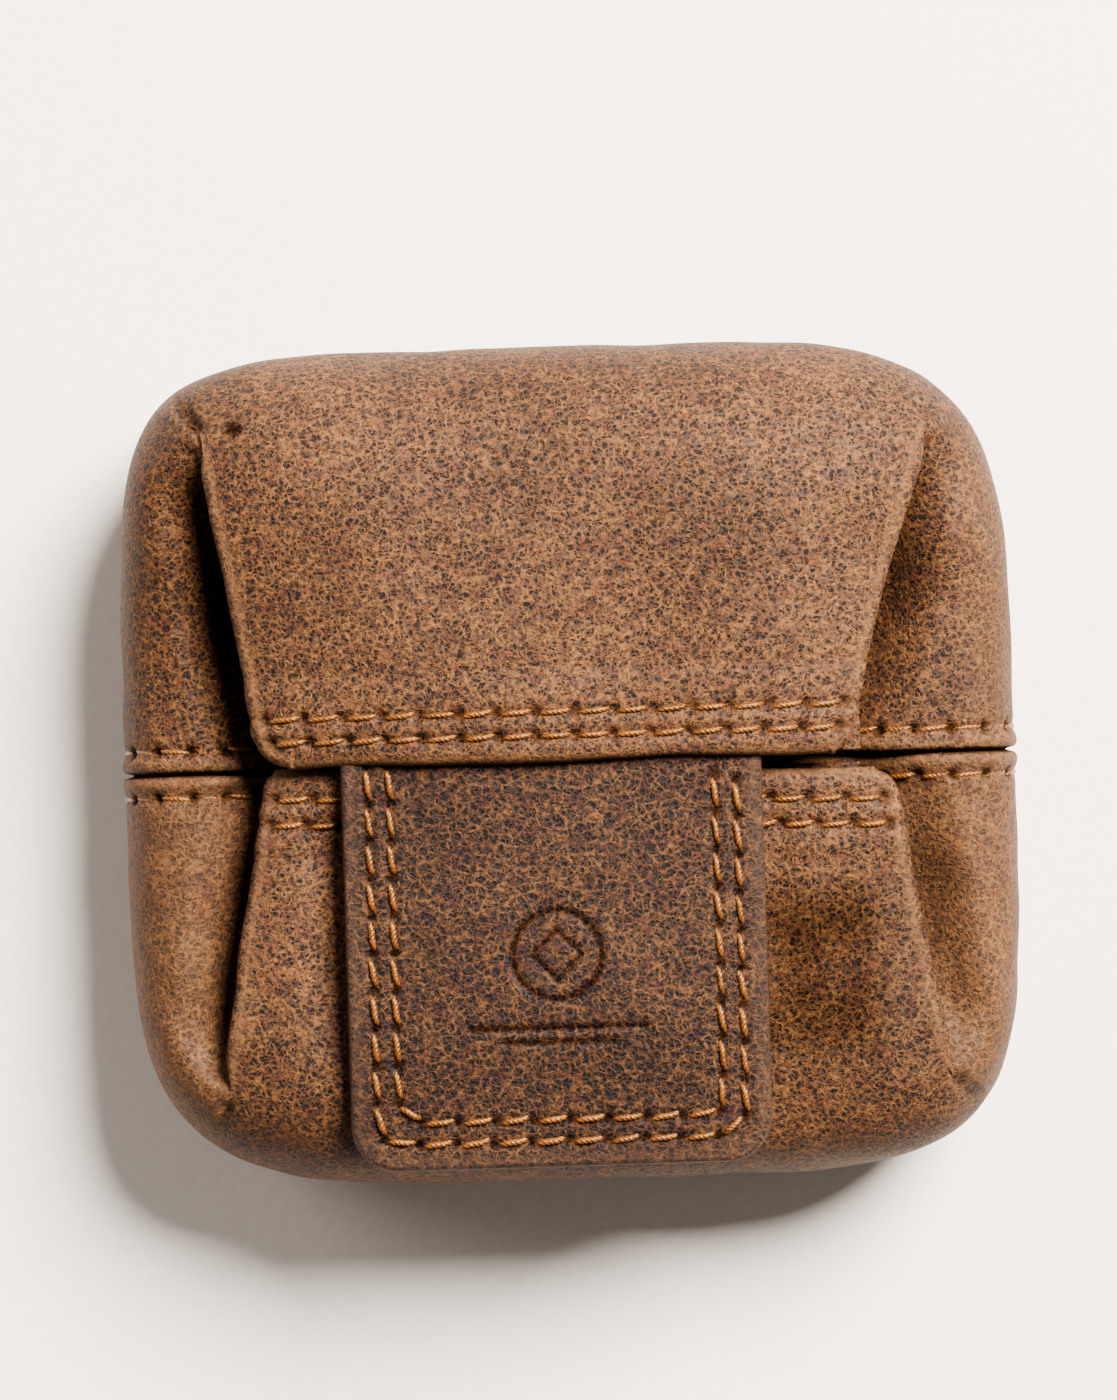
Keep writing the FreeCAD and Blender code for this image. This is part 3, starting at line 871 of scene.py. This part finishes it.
def tab_outward(path):
    """Directions in plan that point out of the tab, square to a line along its edge."""
    run = np.gradient(path[:, :2], axis=0)
    outward = unit(np.stack([run[:, 1], -run[:, 0]], -1))
    centre = (TAB_LOW + TAB_HIGH)[:2] / 2
    away = np.sum(outward * (path[:, :2] - centre), 1)
    return outward * np.sign(away)[:, None]


def tab_back(face, thickness):
    """The tab's back, which swells to cover the magnet."""
    back = face - np.array([0.0, 0.0, thickness])
    magnet_low, magnet_high = box("tab_magnet")
    from_magnet = np.linalg.norm((back - (magnet_low + magnet_high) / 2)[..., :2], axis=-1)
    radius = (magnet_high[0] - magnet_low[0]) / 2
    covered = np.minimum(back[..., 2], magnet_low[2] - 0.2)
    back[..., 2] = lerp(covered, back[..., 2], smooth(from_magnet, radius + 0.3, radius + 3.0))
    return back


def tab_shell():
    """The tab's two leathers as one rounded slab: face, edge and back."""
    face = tab_face()
    rows, columns = face.shape[:2]
    holes = np.concatenate([evenly(tab_path(inset, UPPER.lip), PITCH) for inset in TAB_ROWS])
    # Painted shade in the holes, and the pressed mark drawn darker.
    dark = hole_shade(face, holes, 0.45) + 0.75 * mark_depth(face[..., 0], face[..., 1])
    lifted = face + grid_normals(face, True) * tab_relief(face, holes)[..., None]
    index = np.arange(rows * columns).reshape(rows, columns)
    loop = np.concatenate([index[:-1, 0], index[-1, :], index[-2::-1, -1]])
    thickness = TAB_HIGH[2] - TAB_LOW[2]
    edge = lifted.reshape(-1, 3)[loop]
    outward = tab_outward(face.reshape(-1, 3)[loop])
    vertices = [lifted.reshape(-1, 3)]
    quads = [faces_of(rows, columns, 0, True)]
    wear_and_painted_light = [hump(tab_edge_distance(face) - 0.7, 0.9).ravel() * 0.8]
    darks = [np.clip(dark, 0, 1).ravel()]
    previous, start = loop, rows * columns
    for angle in np.linspace(0.0, math.pi, 12)[1:]:
        ring = edge.copy()
        ring[:, :2] += outward * TAB_RIM * math.sin(angle) ** 0.7
        ring[:, 2] -= thickness / 2 * (1.0 - math.cos(angle))
        vertices.append(ring)
        here = start + np.arange(len(loop))
        quads.append(np.stack([previous[:-1], here[:-1], here[1:], previous[1:]], -1))
        wear_and_painted_light.append(np.full(len(loop), 1.0 if 0.3 < angle < 2.4 else 0.5))
        # Painted shade on the lower half of the edge.
        darks.append(np.full(len(loop), 0.6 * smooth(angle, 1.3, 1.9)))
        previous, start = here, start + len(loop)
    vertices.append(tab_back(face, thickness).reshape(-1, 3))
    quads.append(faces_of(rows, columns, start, False))
    wear_and_painted_light.append(np.zeros(rows * columns))
    darks.append(np.zeros(rows * columns))
    vertices, quads, wear_and_painted_light, darks = (np.concatenate(parts) for parts in (vertices, quads, wear_and_painted_light, darks))
    return build("tab_leather", vertices, quads, wear_and_painted_light, darks)


def tab_threads():
    for inset, row in zip(TAB_ROWS, ROW_WORDS):
        holes = evenly(tab_path(inset, UPPER.lip), PITCH)
        normals = np.tile([0.0, 0.0, 1.0], (len(holes), 1))
        holes = holes + normals * tab_relief(holes)[:, None]
        name = f"tab_thread_{row}_twist"
        piece = stitches(name, holes, normals, lean=0.75, seed=41 + len(row), radius=0.30, proud=0.16)
        finish_piece(piece, THREAD)
        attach(piece, "tab")
        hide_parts(f"tab_thread_{row}")


# ---- inside ----
POUCH_TOP, POUCH_FLOOR = 17.6, 2.4
POUCH_INSET = 0.045            # as a share of the outline


def pouch_lining():
    """A cloth tray that follows the walls and the back panel."""
    ring = full_outline()
    lines = []
    for z in np.linspace(POUCH_TOP, POUCH_FLOOR, 36):
        wall = 1.0 - 0.003 * (z - BELLY_Z) if z > BELLY_Z else wall_share(z)
        lines.append(at_height(ring * (wall - POUCH_INSET), z))
    for scale in (0.9, 0.85, 0.78, 0.7, 0.6, 0.45, 0.3, 0.15, 0.02):
        lines.append(at_height(ring * (wall_share(POUCH_FLOOR) - POUCH_INSET) * scale, POUCH_FLOOR - 0.5))
    grid = np.stack(lines)
    normals = grid_normals(grid, True)
    grid = grid + normals * (0.25 * waves(grid, 16.0, 81) + 0.1 * waves(grid, 6.0, 82))[..., None]
    return build("pouch_cloth", grid, faces_of(*grid.shape[:2]))


def flap_lining(flap, shell, lead):
    """Cloth under a flap, from the hem to the eave."""
    first = lead + int((HEM_WIDTH - flap.hem) / SPACING) - 4
    last = lead + int((30.0 - flap.lip) / SPACING)
    edge = len(rim_profile(flap)) + 3
    return cloth_sheet(flap.name + "_flap_cloth", shell[first:last:3, edge:-edge:3], 1.15, flap.sign < 0)


def gusset_lining(side, shells):
    """Cloth behind a gusset, one piece across its seam; it narrows towards the corners."""
    columns = np.append(0, np.arange(16, 59, 3))       # steps over the seam's groove
    last = lerp(47.0, 14.0, columns / columns[-1])
    rows = lerp(5.0, last[None, :], np.linspace(0.0, 1.0, 15)[:, None]).astype(int)
    upper, lower = [shell[rows, columns] for shell in shells]
    grid = np.concatenate([lower[:, ::-1], upper[:, 1:]], 1)
    return cloth_sheet(side_word(side) + "_gusset_cloth", grid, LEATHER + 0.6, side > 0)


def back_panel():
    """The panel that the purse rests on, let into the foot of the walls."""
    ring = full_outline()
    rounded_rim = [(0.81, 0.9), (0.807, 0.35), (0.8, 0.1), (0.79, 0.0)]
    flat_part = [(scale, 0.0) for scale in (0.6, 0.4, 0.2, 0.01)]
    grid = np.stack([at_height(ring * scale, z) for scale, z in rounded_rim + flat_part])
    return build("back_panel_leather", grid, faces_of(*grid.shape[:2], 0, True))


# ---- materials ----
class Shader:
    """Short names for the nodes of one material."""

    def __init__(self, name):
        self.material = bpy.data.materials.new(name)
        self.material.use_nodes = True
        self.tree = self.material.node_tree
        self.tree.nodes.clear()
        out = self.node("OutputMaterial")
        self.surface = self.node("BsdfPrincipled")
        self.feed(out, {0: self.surface.outputs[0]})

    def node(self, kind, feeds=None, **settings):
        node = self.tree.nodes.new("ShaderNode" + kind)
        for key, value in settings.items():
            setattr(node, key, value)
        self.feed(node, feeds or {})
        return node

    def feed(self, node, feeds):
        """Gives inputs of a node an output to read or a plain value."""
        for key, value in feeds.items():
            if isinstance(value, bpy.types.NodeSocket):
                self.tree.links.new(value, node.inputs[key])
            else:
                node.inputs[key].default_value = value

    def attribute(self, name, output="Fac"):
        return self.node("Attribute", attribute_name=name).outputs[output]

    def math(self, operation, first, second=0.0, clamp=False):
        feeds = {0: first, 1: second}
        return self.node("Math", feeds, operation=operation, use_clamp=clamp).outputs[0]

    def plus(self, first, second):
        return self.math("ADD", first, second)

    def minus(self, first, second):
        return self.math("SUBTRACT", first, second)

    def times(self, first, second, clamp=False):
        return self.math("MULTIPLY", first, second, clamp)

    def vector(self, operation, first, second):
        return self.node("VectorMath", {0: first, 1: second}, operation=operation).outputs[0]

    def noise(self, place, scale, detail=3.0, roughness=0.55, output="Fac"):
        feeds = {"Vector": place, "Scale": scale, "Detail": detail, "Roughness": roughness}
        return self.node("TexNoise", feeds).outputs[output]

    def cells(self, place, scale, feature="F1", output="Distance"):
        return self.node("TexVoronoi", {"Vector": place, "Scale": scale}, feature=feature).outputs[output]

    def span(self, value, low, high, to_low=0.0, to_high=1.0):
        """Takes the values from low to high smoothly to the range from to_low to to_high."""
        feeds = {"Value": value, "From Min": low, "From Max": high, "To Min": to_low, "To Max": to_high}
        return self.node("MapRange", feeds, interpolation_type="SMOOTHSTEP").outputs[0]

    def mix(self, share_of_second, first, second, blend="MIX"):
        feeds = {0: share_of_second, 6: first, 7: second}
        return self.node("Mix", feeds, data_type="RGBA", blend_type=blend).outputs[2]

    def finish(self, looks, height, strength, depth):
        """Gives the surface its looks and its bump, and hands the material over."""
        self.feed(self.surface, looks)
        bump = self.node("Bump", {"Height": height, "Strength": strength, "Distance": depth * MM})
        self.feed(self.surface, {"Normal": bump.outputs[0]})
        return self.material


Hide = namedtuple("Hide", "strand red_strand tan brown haze pit rubbed strand_share pit_share grain")
PITTED = Hide(
    strand=(0.145, 0.0540, 0.0136, 1), red_strand=(0.104, 0.0305, 0.0108, 1),
    tan=(0.056, 0.0230, 0.0095, 1), brown=(0.0142, 0.0066, 0.0038, 1),
    haze=(0.0125, 0.0086, 0.0073, 1), pit=(0.0014, 0.0011, 0.0013, 1),
    rubbed=(0.125, 0.055, 0.0210, 1), strand_share=0.95, pit_share=1.0, grain=1.0)
DARK = Hide(
    strand=(0.092, 0.034, 0.0098, 1), red_strand=(0.060, 0.0175, 0.0072, 1),
    tan=(0.0108, 0.0055, 0.0035, 1), brown=(0.0040, 0.0024, 0.0020, 1),
    haze=(0.0052, 0.0037, 0.0036, 1), pit=(0.0010, 0.0008, 0.0010, 1),
    rubbed=(0.038, 0.020, 0.0120, 1), strand_share=0.95, pit_share=0.9, grain=0.9)
# Colour for painted shade, also used for the pressed mark, the seam line and the darker patches.
CREVICE = (0.0014, 0.0008, 0.0006, 1)
WAX_DARK, WAX_PALE = (0.042, 0.0110, 0.0020, 1), (0.195, 0.0560, 0.0066, 1)
WAX_GLINT = (1.0, 0.68, 0.33, 1)
# Colour of the painted shade between the plies of the thread.
BETWEEN_PLIES = (0.016, 0.0045, 0.0015, 1)
CLOTH_DARK, CLOTH_PALE = (0.0090, 0.0055, 0.0035, 1), (0.030, 0.0180, 0.0115, 1)
WEAVE_PITCH = 0.6
NICKEL, SCUFFED_NICKEL = (0.62, 0.61, 0.58, 1.0), (0.42, 0.41, 0.39, 1.0)
PAPER_DARK, PAPER_PALE = (0.88, 0.77, 0.66, 1), (0.92, 0.81, 0.70, 1)


def frayed(s, rest):
    """Places pushed about a little, so that the cells and strands of a hide are ragged."""
    bend = s.vector("SUBTRACT", s.noise(rest, 0.7, 2.0, 0.5, "Color"), (0.5,) * 3)
    fray = s.vector("SUBTRACT", s.noise(rest, 2.6, 2.0, 0.6, "Color"), (0.5,) * 3)
    stray = s.vector("ADD", s.vector("MULTIPLY", bend, (1.1,) * 3), s.vector("MULTIPLY", fray, (0.32,) * 3))
    return s.vector("MULTIPLY", s.vector("ADD", rest, stray), (1.0, 1.15, 1.0))


def hide_pattern(s, hide, place, luck, fine, grit):
    """How far each place belongs to a cell, to a pit and to a strand."""
    cell_grain = 1.0 * hide.grain
    pit_grain = 2.15 * hide.grain
    cell = s.span(s.minus(s.cells(place, cell_grain), luck), 0.70, 0.25)
    cell_edge = s.cells(place, cell_grain, "DISTANCE_TO_EDGE")
    pit_edge = s.cells(place, pit_grain, "DISTANCE_TO_EDGE")
    own = s.times(s.minus(s.cells(place, pit_grain, "F1", "Color"), 0.5), 0.3)
    reach = s.minus(s.cells(place, pit_grain), s.plus(own, luck))
    pits = s.times(s.span(reach, 0.54, 0.30), s.span(cell, 0.0, 0.6, 0.72, 1.0))
    pits = s.times(pits, s.span(grit, 0.32, 0.55, 0.4, 1.0))
    pits = s.times(pits, hide.pit_share, True)
    fine_strands = s.times(s.span(pit_edge, 0.13, 0.0), 0.6)
    strands = s.math("MAXIMUM", s.span(cell_edge, 0.13, 0.0), fine_strands)
    return cell, pits, s.times(strands, s.span(fine, 0.38, 0.6, 0.15, 1.0))


def leather(name, hide):
    """Oiled leather: grey-brown cells with dark pits, in a net of tan strands."""
    s = Shader(name)
    rest = s.attribute("rest", "Vector")
    place = frayed(s, rest)
    patches = s.noise(rest, 0.055, 3.0)
    clouds = s.noise(rest, 0.25, 3.0)
    fine = s.noise(rest, 1.9, 6.0, 0.75)
    grit = s.noise(rest, 5.0, 4.0, 0.7)
    luck = s.plus(s.span(clouds, 0.32, 0.68, -0.03, 0.05), s.span(patches, 0.35, 0.65, -0.02, 0.04))
    cell, pits, strands = hide_pattern(s, hide, place, luck, fine, grit)
    colour = s.mix(s.span(fine, 0.36, 0.62), hide.brown, hide.tan)
    colour = s.mix(s.times(cell, s.span(grit, 0.35, 0.6, 0.85, 0.35)), colour, hide.haze)
    colour = s.mix(s.times(pits, 0.92), colour, hide.pit)
    strand = s.mix(s.span(s.noise(rest, 0.5, 2.0), 0.45, 0.66), hide.strand, hide.red_strand)
    colour = s.mix(s.times(strands, hide.strand_share), colour, strand)
    tone = s.times(s.span(patches, 0.32, 0.68, 1.15, 0.82), s.span(grit, 0.3, 0.68, 0.68, 1.3))
    colour = s.mix(1.0, colour, tone, "MULTIPLY")
    # Paler where worn at edges, rims and seam ridges, and painted light on the gussets.
    colour = s.mix(s.times(s.attribute("wear_and_painted_light"), 0.5), colour, hide.rubbed)
    # Painted shade where the dark value is high: in holes, creases, the pleats, under the flaps and under
    # the tab's edge; the same mix darkens the pressed mark, the seam line and the darker patches.
    colour = s.mix(s.times(s.attribute("dark"), 0.9, True), colour, CREVICE)
    looks = {
        "Base Color": colour,
        "Roughness": s.span(fine, 0.3, 0.7, 0.5, 0.72),
        "Specular IOR Level": s.span(s.attribute("dark"), 0.0, 0.7, 0.08, 0.0),
    }
    height = s.minus(s.times(fine, 0.45), s.times(pits, 0.8))
    return s.finish(looks, s.plus(height, s.times(grit, 0.25)), 0.7, 0.12)


def thread_material():
    """Waxed linen thread, with painted shade between its plies."""
    s = Shader("waxed_thread")
    rest = s.attribute("rest", "Vector")
    fibres = s.noise(rest, 7.0, 4.0, 0.7)
    slow = s.noise(rest, 0.5, 2.0)
    colour = s.mix(s.span(fibres, 0.35, 0.65), WAX_DARK, WAX_PALE)
    colour = s.mix(1.0, colour, s.span(slow, 0.3, 0.7, 0.75, 1.2), "MULTIPLY")
    colour = s.mix(s.times(s.attribute("dark"), 0.85), colour, BETWEEN_PLIES)
    looks = {"Base Color": colour, "Roughness": 0.27, "Specular IOR Level": 0.6, "Specular Tint": WAX_GLINT}
    return s.finish(looks, fibres, 0.5, 0.1)


def cloth_material():
    """Plain woven cotton: threads over and under each other in two directions."""
    s = Shader("lining_cloth")
    rest = s.attribute("rest", "Vector")
    axes = s.node("SeparateXYZ", {0: rest}).outputs
    rows = [s.math("SINE", s.times(axis, 2.0 * math.pi / WEAVE_PITCH)) for axis in axes]
    weave = s.times(s.plus(rows[0], rows[2]), rows[1])
    fuzz = s.noise(rest, 5.0, 3.0)
    colour = s.mix(s.span(weave, -1.2, 1.2), CLOTH_DARK, CLOTH_PALE)
    colour = s.mix(1.0, colour, s.span(fuzz, 0.3, 0.7, 0.75, 1.15), "MULTIPLY")
    looks = {"Base Color": colour, "Roughness": 0.9, "Specular IOR Level": 0.03, "Sheen Weight": 0.01}
    return s.finish(looks, weave, 0.4, 0.1)


def metal_material():
    """Nickel plate with turning marks and a few scuffs."""
    s = Shader("nickel_plate")
    place = s.node("TexCoord").outputs["Object"]
    marks = s.noise(place, 9000.0, 2.0)
    scuffs = s.noise(place, 600.0, 4.0)
    colour = s.mix(s.span(scuffs, 0.4, 0.7), NICKEL, SCUFFED_NICKEL)
    looks = {"Base Color": colour, "Metallic": 1.0, "Roughness": s.span(scuffs, 0.3, 0.7, 0.22, 0.42)}
    return s.finish(looks, marks, 0.15, 0.02)


def floor_material():
    s = Shader("floor_paper")
    place = s.node("TexCoord").outputs["Object"]
    fibres = s.noise(place, 900.0, 4.0)
    colour = s.mix(s.span(fibres, 0.3, 0.7), PAPER_DARK, PAPER_PALE)
    looks = {"Base Color": colour, "Roughness": 0.9, "Specular IOR Level": 0.1}
    return s.finish(looks, fibres, 0.08, 0.1)


def finish_piece(piece, material):
    piece.data.materials.clear()
    piece.data.materials.append(material)


LEATHER_MATERIAL = leather("pitted_leather", PITTED)
TAB_MATERIAL = leather("dark_leather", DARK)
THREAD = thread_material()
CLOTH = cloth_material()
METAL = metal_material()


def flap_bend(piece):
    """Bakes the piece's placing into its points."""
    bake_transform(piece)


def gusset_bend(piece):
    """Bakes the piece's placing into its points."""
    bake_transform(piece)


def pleat_bend(piece):
    """Bakes the piece's placing into its points."""
    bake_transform(piece)


# ---- put together ----
SAME_PLACE = 2e-6              # metres; points closer than this are one point


def same_normals(pieces):
    """Gives points that pieces share one normal, so that the skin runs on without a line."""
    places, normals = [], []
    for piece in pieces:
        mesh = piece.data
        count = len(mesh.vertices)
        place, normal = np.empty(count * 3), np.empty(count * 3)
        mesh.vertices.foreach_get("co", place)
        mesh.vertex_normals.foreach_get("vector", normal)
        places.append(place.reshape(-1, 3))
        normals.append(normal.reshape(-1, 3))
    keys = np.round(np.concatenate(places) / SAME_PLACE).astype(np.int64)
    group = np.unique(keys, axis=0, return_inverse=True)[1].ravel()
    together = np.concatenate(normals)
    total = np.zeros((group.max() + 1, 3))
    np.add.at(total, group, together)
    together = unit(total[group])
    start = 0
    for piece, own in zip(pieces, normals):
        piece.data.normals_split_custom_set_from_vertices(together[start:start + len(own)].tolist())
        start += len(own)


def make_leather():
    shells, grids, skins = {}, {}, []
    for flap in FLAPS:
        piece, grid, sides = flap_shell(flap)
        shells[flap.name] = grid
        skins.append(piece)
        finish_piece(piece, LEATHER_MATERIAL)
        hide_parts(flap.name + "_flap", flap.name + "_wall")
        for side in SIDES:
            quarter, quarter_grid = gusset_shell(side, flap, sides[side])
            grids[side, flap.name] = quarter_grid
            skins.append(quarter)
            finish_piece(quarter, LEATHER_MATERIAL)
            side_name = side_word(side)
            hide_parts(f"{side_name}_gusset_{flap.name}")
            under = pleat(side, flap)
            finish_piece(under, LEATHER_MATERIAL)
            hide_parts(f"{flap.name}_{side_name}_pleat")
            pleat_bend(under)
    same_normals(skins)
    owners = [(flap, side) for flap in FLAPS for side in (0,) + SIDES]
    for piece, (flap, side) in zip(skins, owners):
        if side:
            gusset_bend(piece)
        else:
            flap_bend(piece)
    return shells, grids


def make_inside(shells, grids):
    pouch = pouch_lining()
    finish_piece(pouch, CLOTH)
    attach(pouch, "case")
    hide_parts("pouch_lining")
    for flap in FLAPS:
        cloth = flap_lining(flap, shells[flap.name], len(lip_profile(flap)))
        finish_piece(cloth, CLOTH)
        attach(cloth, flap.name + "_flap")
        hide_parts(flap.name + "_flap_lining")
    for side in SIDES:
        side_name = side_word(side)
        cloth = gusset_lining(side, (grids[side, "upper"], grids[side, "lower"]))
        finish_piece(cloth, CLOTH)
        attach(cloth, side_name + "_gusset")
        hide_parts(side_name + "_gusset_lining")
    panel = back_panel()
    finish_piece(panel, LEATHER_MATERIAL)
    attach(panel, "case")
    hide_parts("back_panel")


def store_rest(node):
    """Gives a carried-over CAD node the place values that the materials read."""
    mesh = node.data
    place = np.empty(len(mesh.vertices) * 3)
    mesh.vertices.foreach_get("co", place)
    layer = mesh.attributes.new("rest", "FLOAT_VECTOR", "POINT")
    layer.data.foreach_set("vector", (place / MM).astype(np.float32))


def dress_cad_nodes():
    dressed = {
        "base_seam_thread": THREAD, "catch_patch": CLOTH, "tab_root": TAB_MATERIAL,
        "upper_lip_facing": LEATHER_MATERIAL, "lower_lip_facing": LEATHER_MATERIAL,
        "catch_magnet": METAL, "tab_magnet": METAL,
    }
    for name, material in dressed.items():
        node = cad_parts[name]
        store_rest(node)
        node.data.materials.clear()
        node.data.materials.append(material)


def make_threads():
    for flap in FLAPS:
        lip_threads(flap)
        for side in SIDES:
            seam_threads(side, flap)
    tab_threads()


def make_tab():
    tab = tab_shell()
    finish_piece(tab, TAB_MATERIAL)
    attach(tab, "tab")
    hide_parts("tab_front", "tab_back")


# ---- floor, light and camera ----
TILT = math.radians(-1.8)      # the camera's roll about its own line of sight
VIEW_HEIGHT = 0.62
VIEW_TALL = 0.1392             # what the picture's height spans at the purse's middle height
VIEW_SHIFT = (-1.15 * MM, 6.2 * MM)
FOCUS_Z = 0.014
SENSOR = 36.0
KEY_COLOUR, FILL_COLOUR = (1.0, 0.98, 0.95), (1.0, 0.97, 0.94)
ROOM_COLOUR, ROOM_STRENGTH = (0.98, 0.97, 0.96, 1.0), 0.19
FLOOR_HALF = 1.5
FLOOR_Z = -0.0001              # just under the purse's back panel


def make_floor():
    mesh = bpy.data.meshes.new("floor")
    corners = [(x * FLOOR_HALF, y * FLOOR_HALF, 0) for x, y in ((-1, -1), (1, -1), (1, 1), (-1, 1))]
    mesh.from_pydata(corners, [], [(0, 1, 2, 3)])
    mesh.materials.append(floor_material())
    floor = bpy.data.objects.new("floor", mesh)
    bpy.context.scene.collection.objects.link(floor)
    floor.location.z = FLOOR_Z


def soft_box(name, direction, distance, size, power, colour):
    data = bpy.data.lights.new(name, "AREA")
    data.shape = "DISK"
    data.size = size
    data.energy = power
    data.color = colour
    lamp = bpy.data.objects.new(name, data)
    bpy.context.scene.collection.objects.link(lamp)
    towards = Vector(direction).normalized()
    lamp.location = towards * distance
    lamp.rotation_mode = "QUATERNION"
    lamp.rotation_quaternion = towards.to_track_quat("Z", "Y")


def make_light():
    soft_box("key", direction=(0.44, 0.51, 0.72), distance=1.1, size=0.60, power=114.0, colour=KEY_COLOUR)
    soft_box("fill", direction=(-0.70, 0.42, 0.50), distance=1.3, size=0.7, power=7.0, colour=FILL_COLOUR)
    world = bpy.data.worlds.new("room")
    world.use_nodes = True
    background = world.node_tree.nodes["Background"]
    background.inputs[0].default_value = ROOM_COLOUR
    background.inputs[1].default_value = ROOM_STRENGTH
    bpy.context.scene.world = world


def make_camera():
    data = bpy.data.cameras.new("camera")
    data.sensor_width = SENSOR
    data.lens = SENSOR * (VIEW_HEIGHT - FOCUS_Z) / VIEW_TALL
    data.clip_start = 0.01
    data.clip_end = 10.0
    camera = bpy.data.objects.new("camera", data)
    bpy.context.scene.collection.objects.link(camera)
    c, s = math.cos(TILT), math.sin(TILT)
    x, y = VIEW_SHIFT
    camera.location = (c * x - s * y, s * x + c * y, VIEW_HEIGHT)
    camera.rotation_euler = (0.0, 0.0, TILT)
    bpy.context.scene.camera = camera


shells, grids = make_leather()
make_inside(shells, grids)
make_threads()
make_tab()
dress_cad_nodes()
make_floor()
make_light()
make_camera()
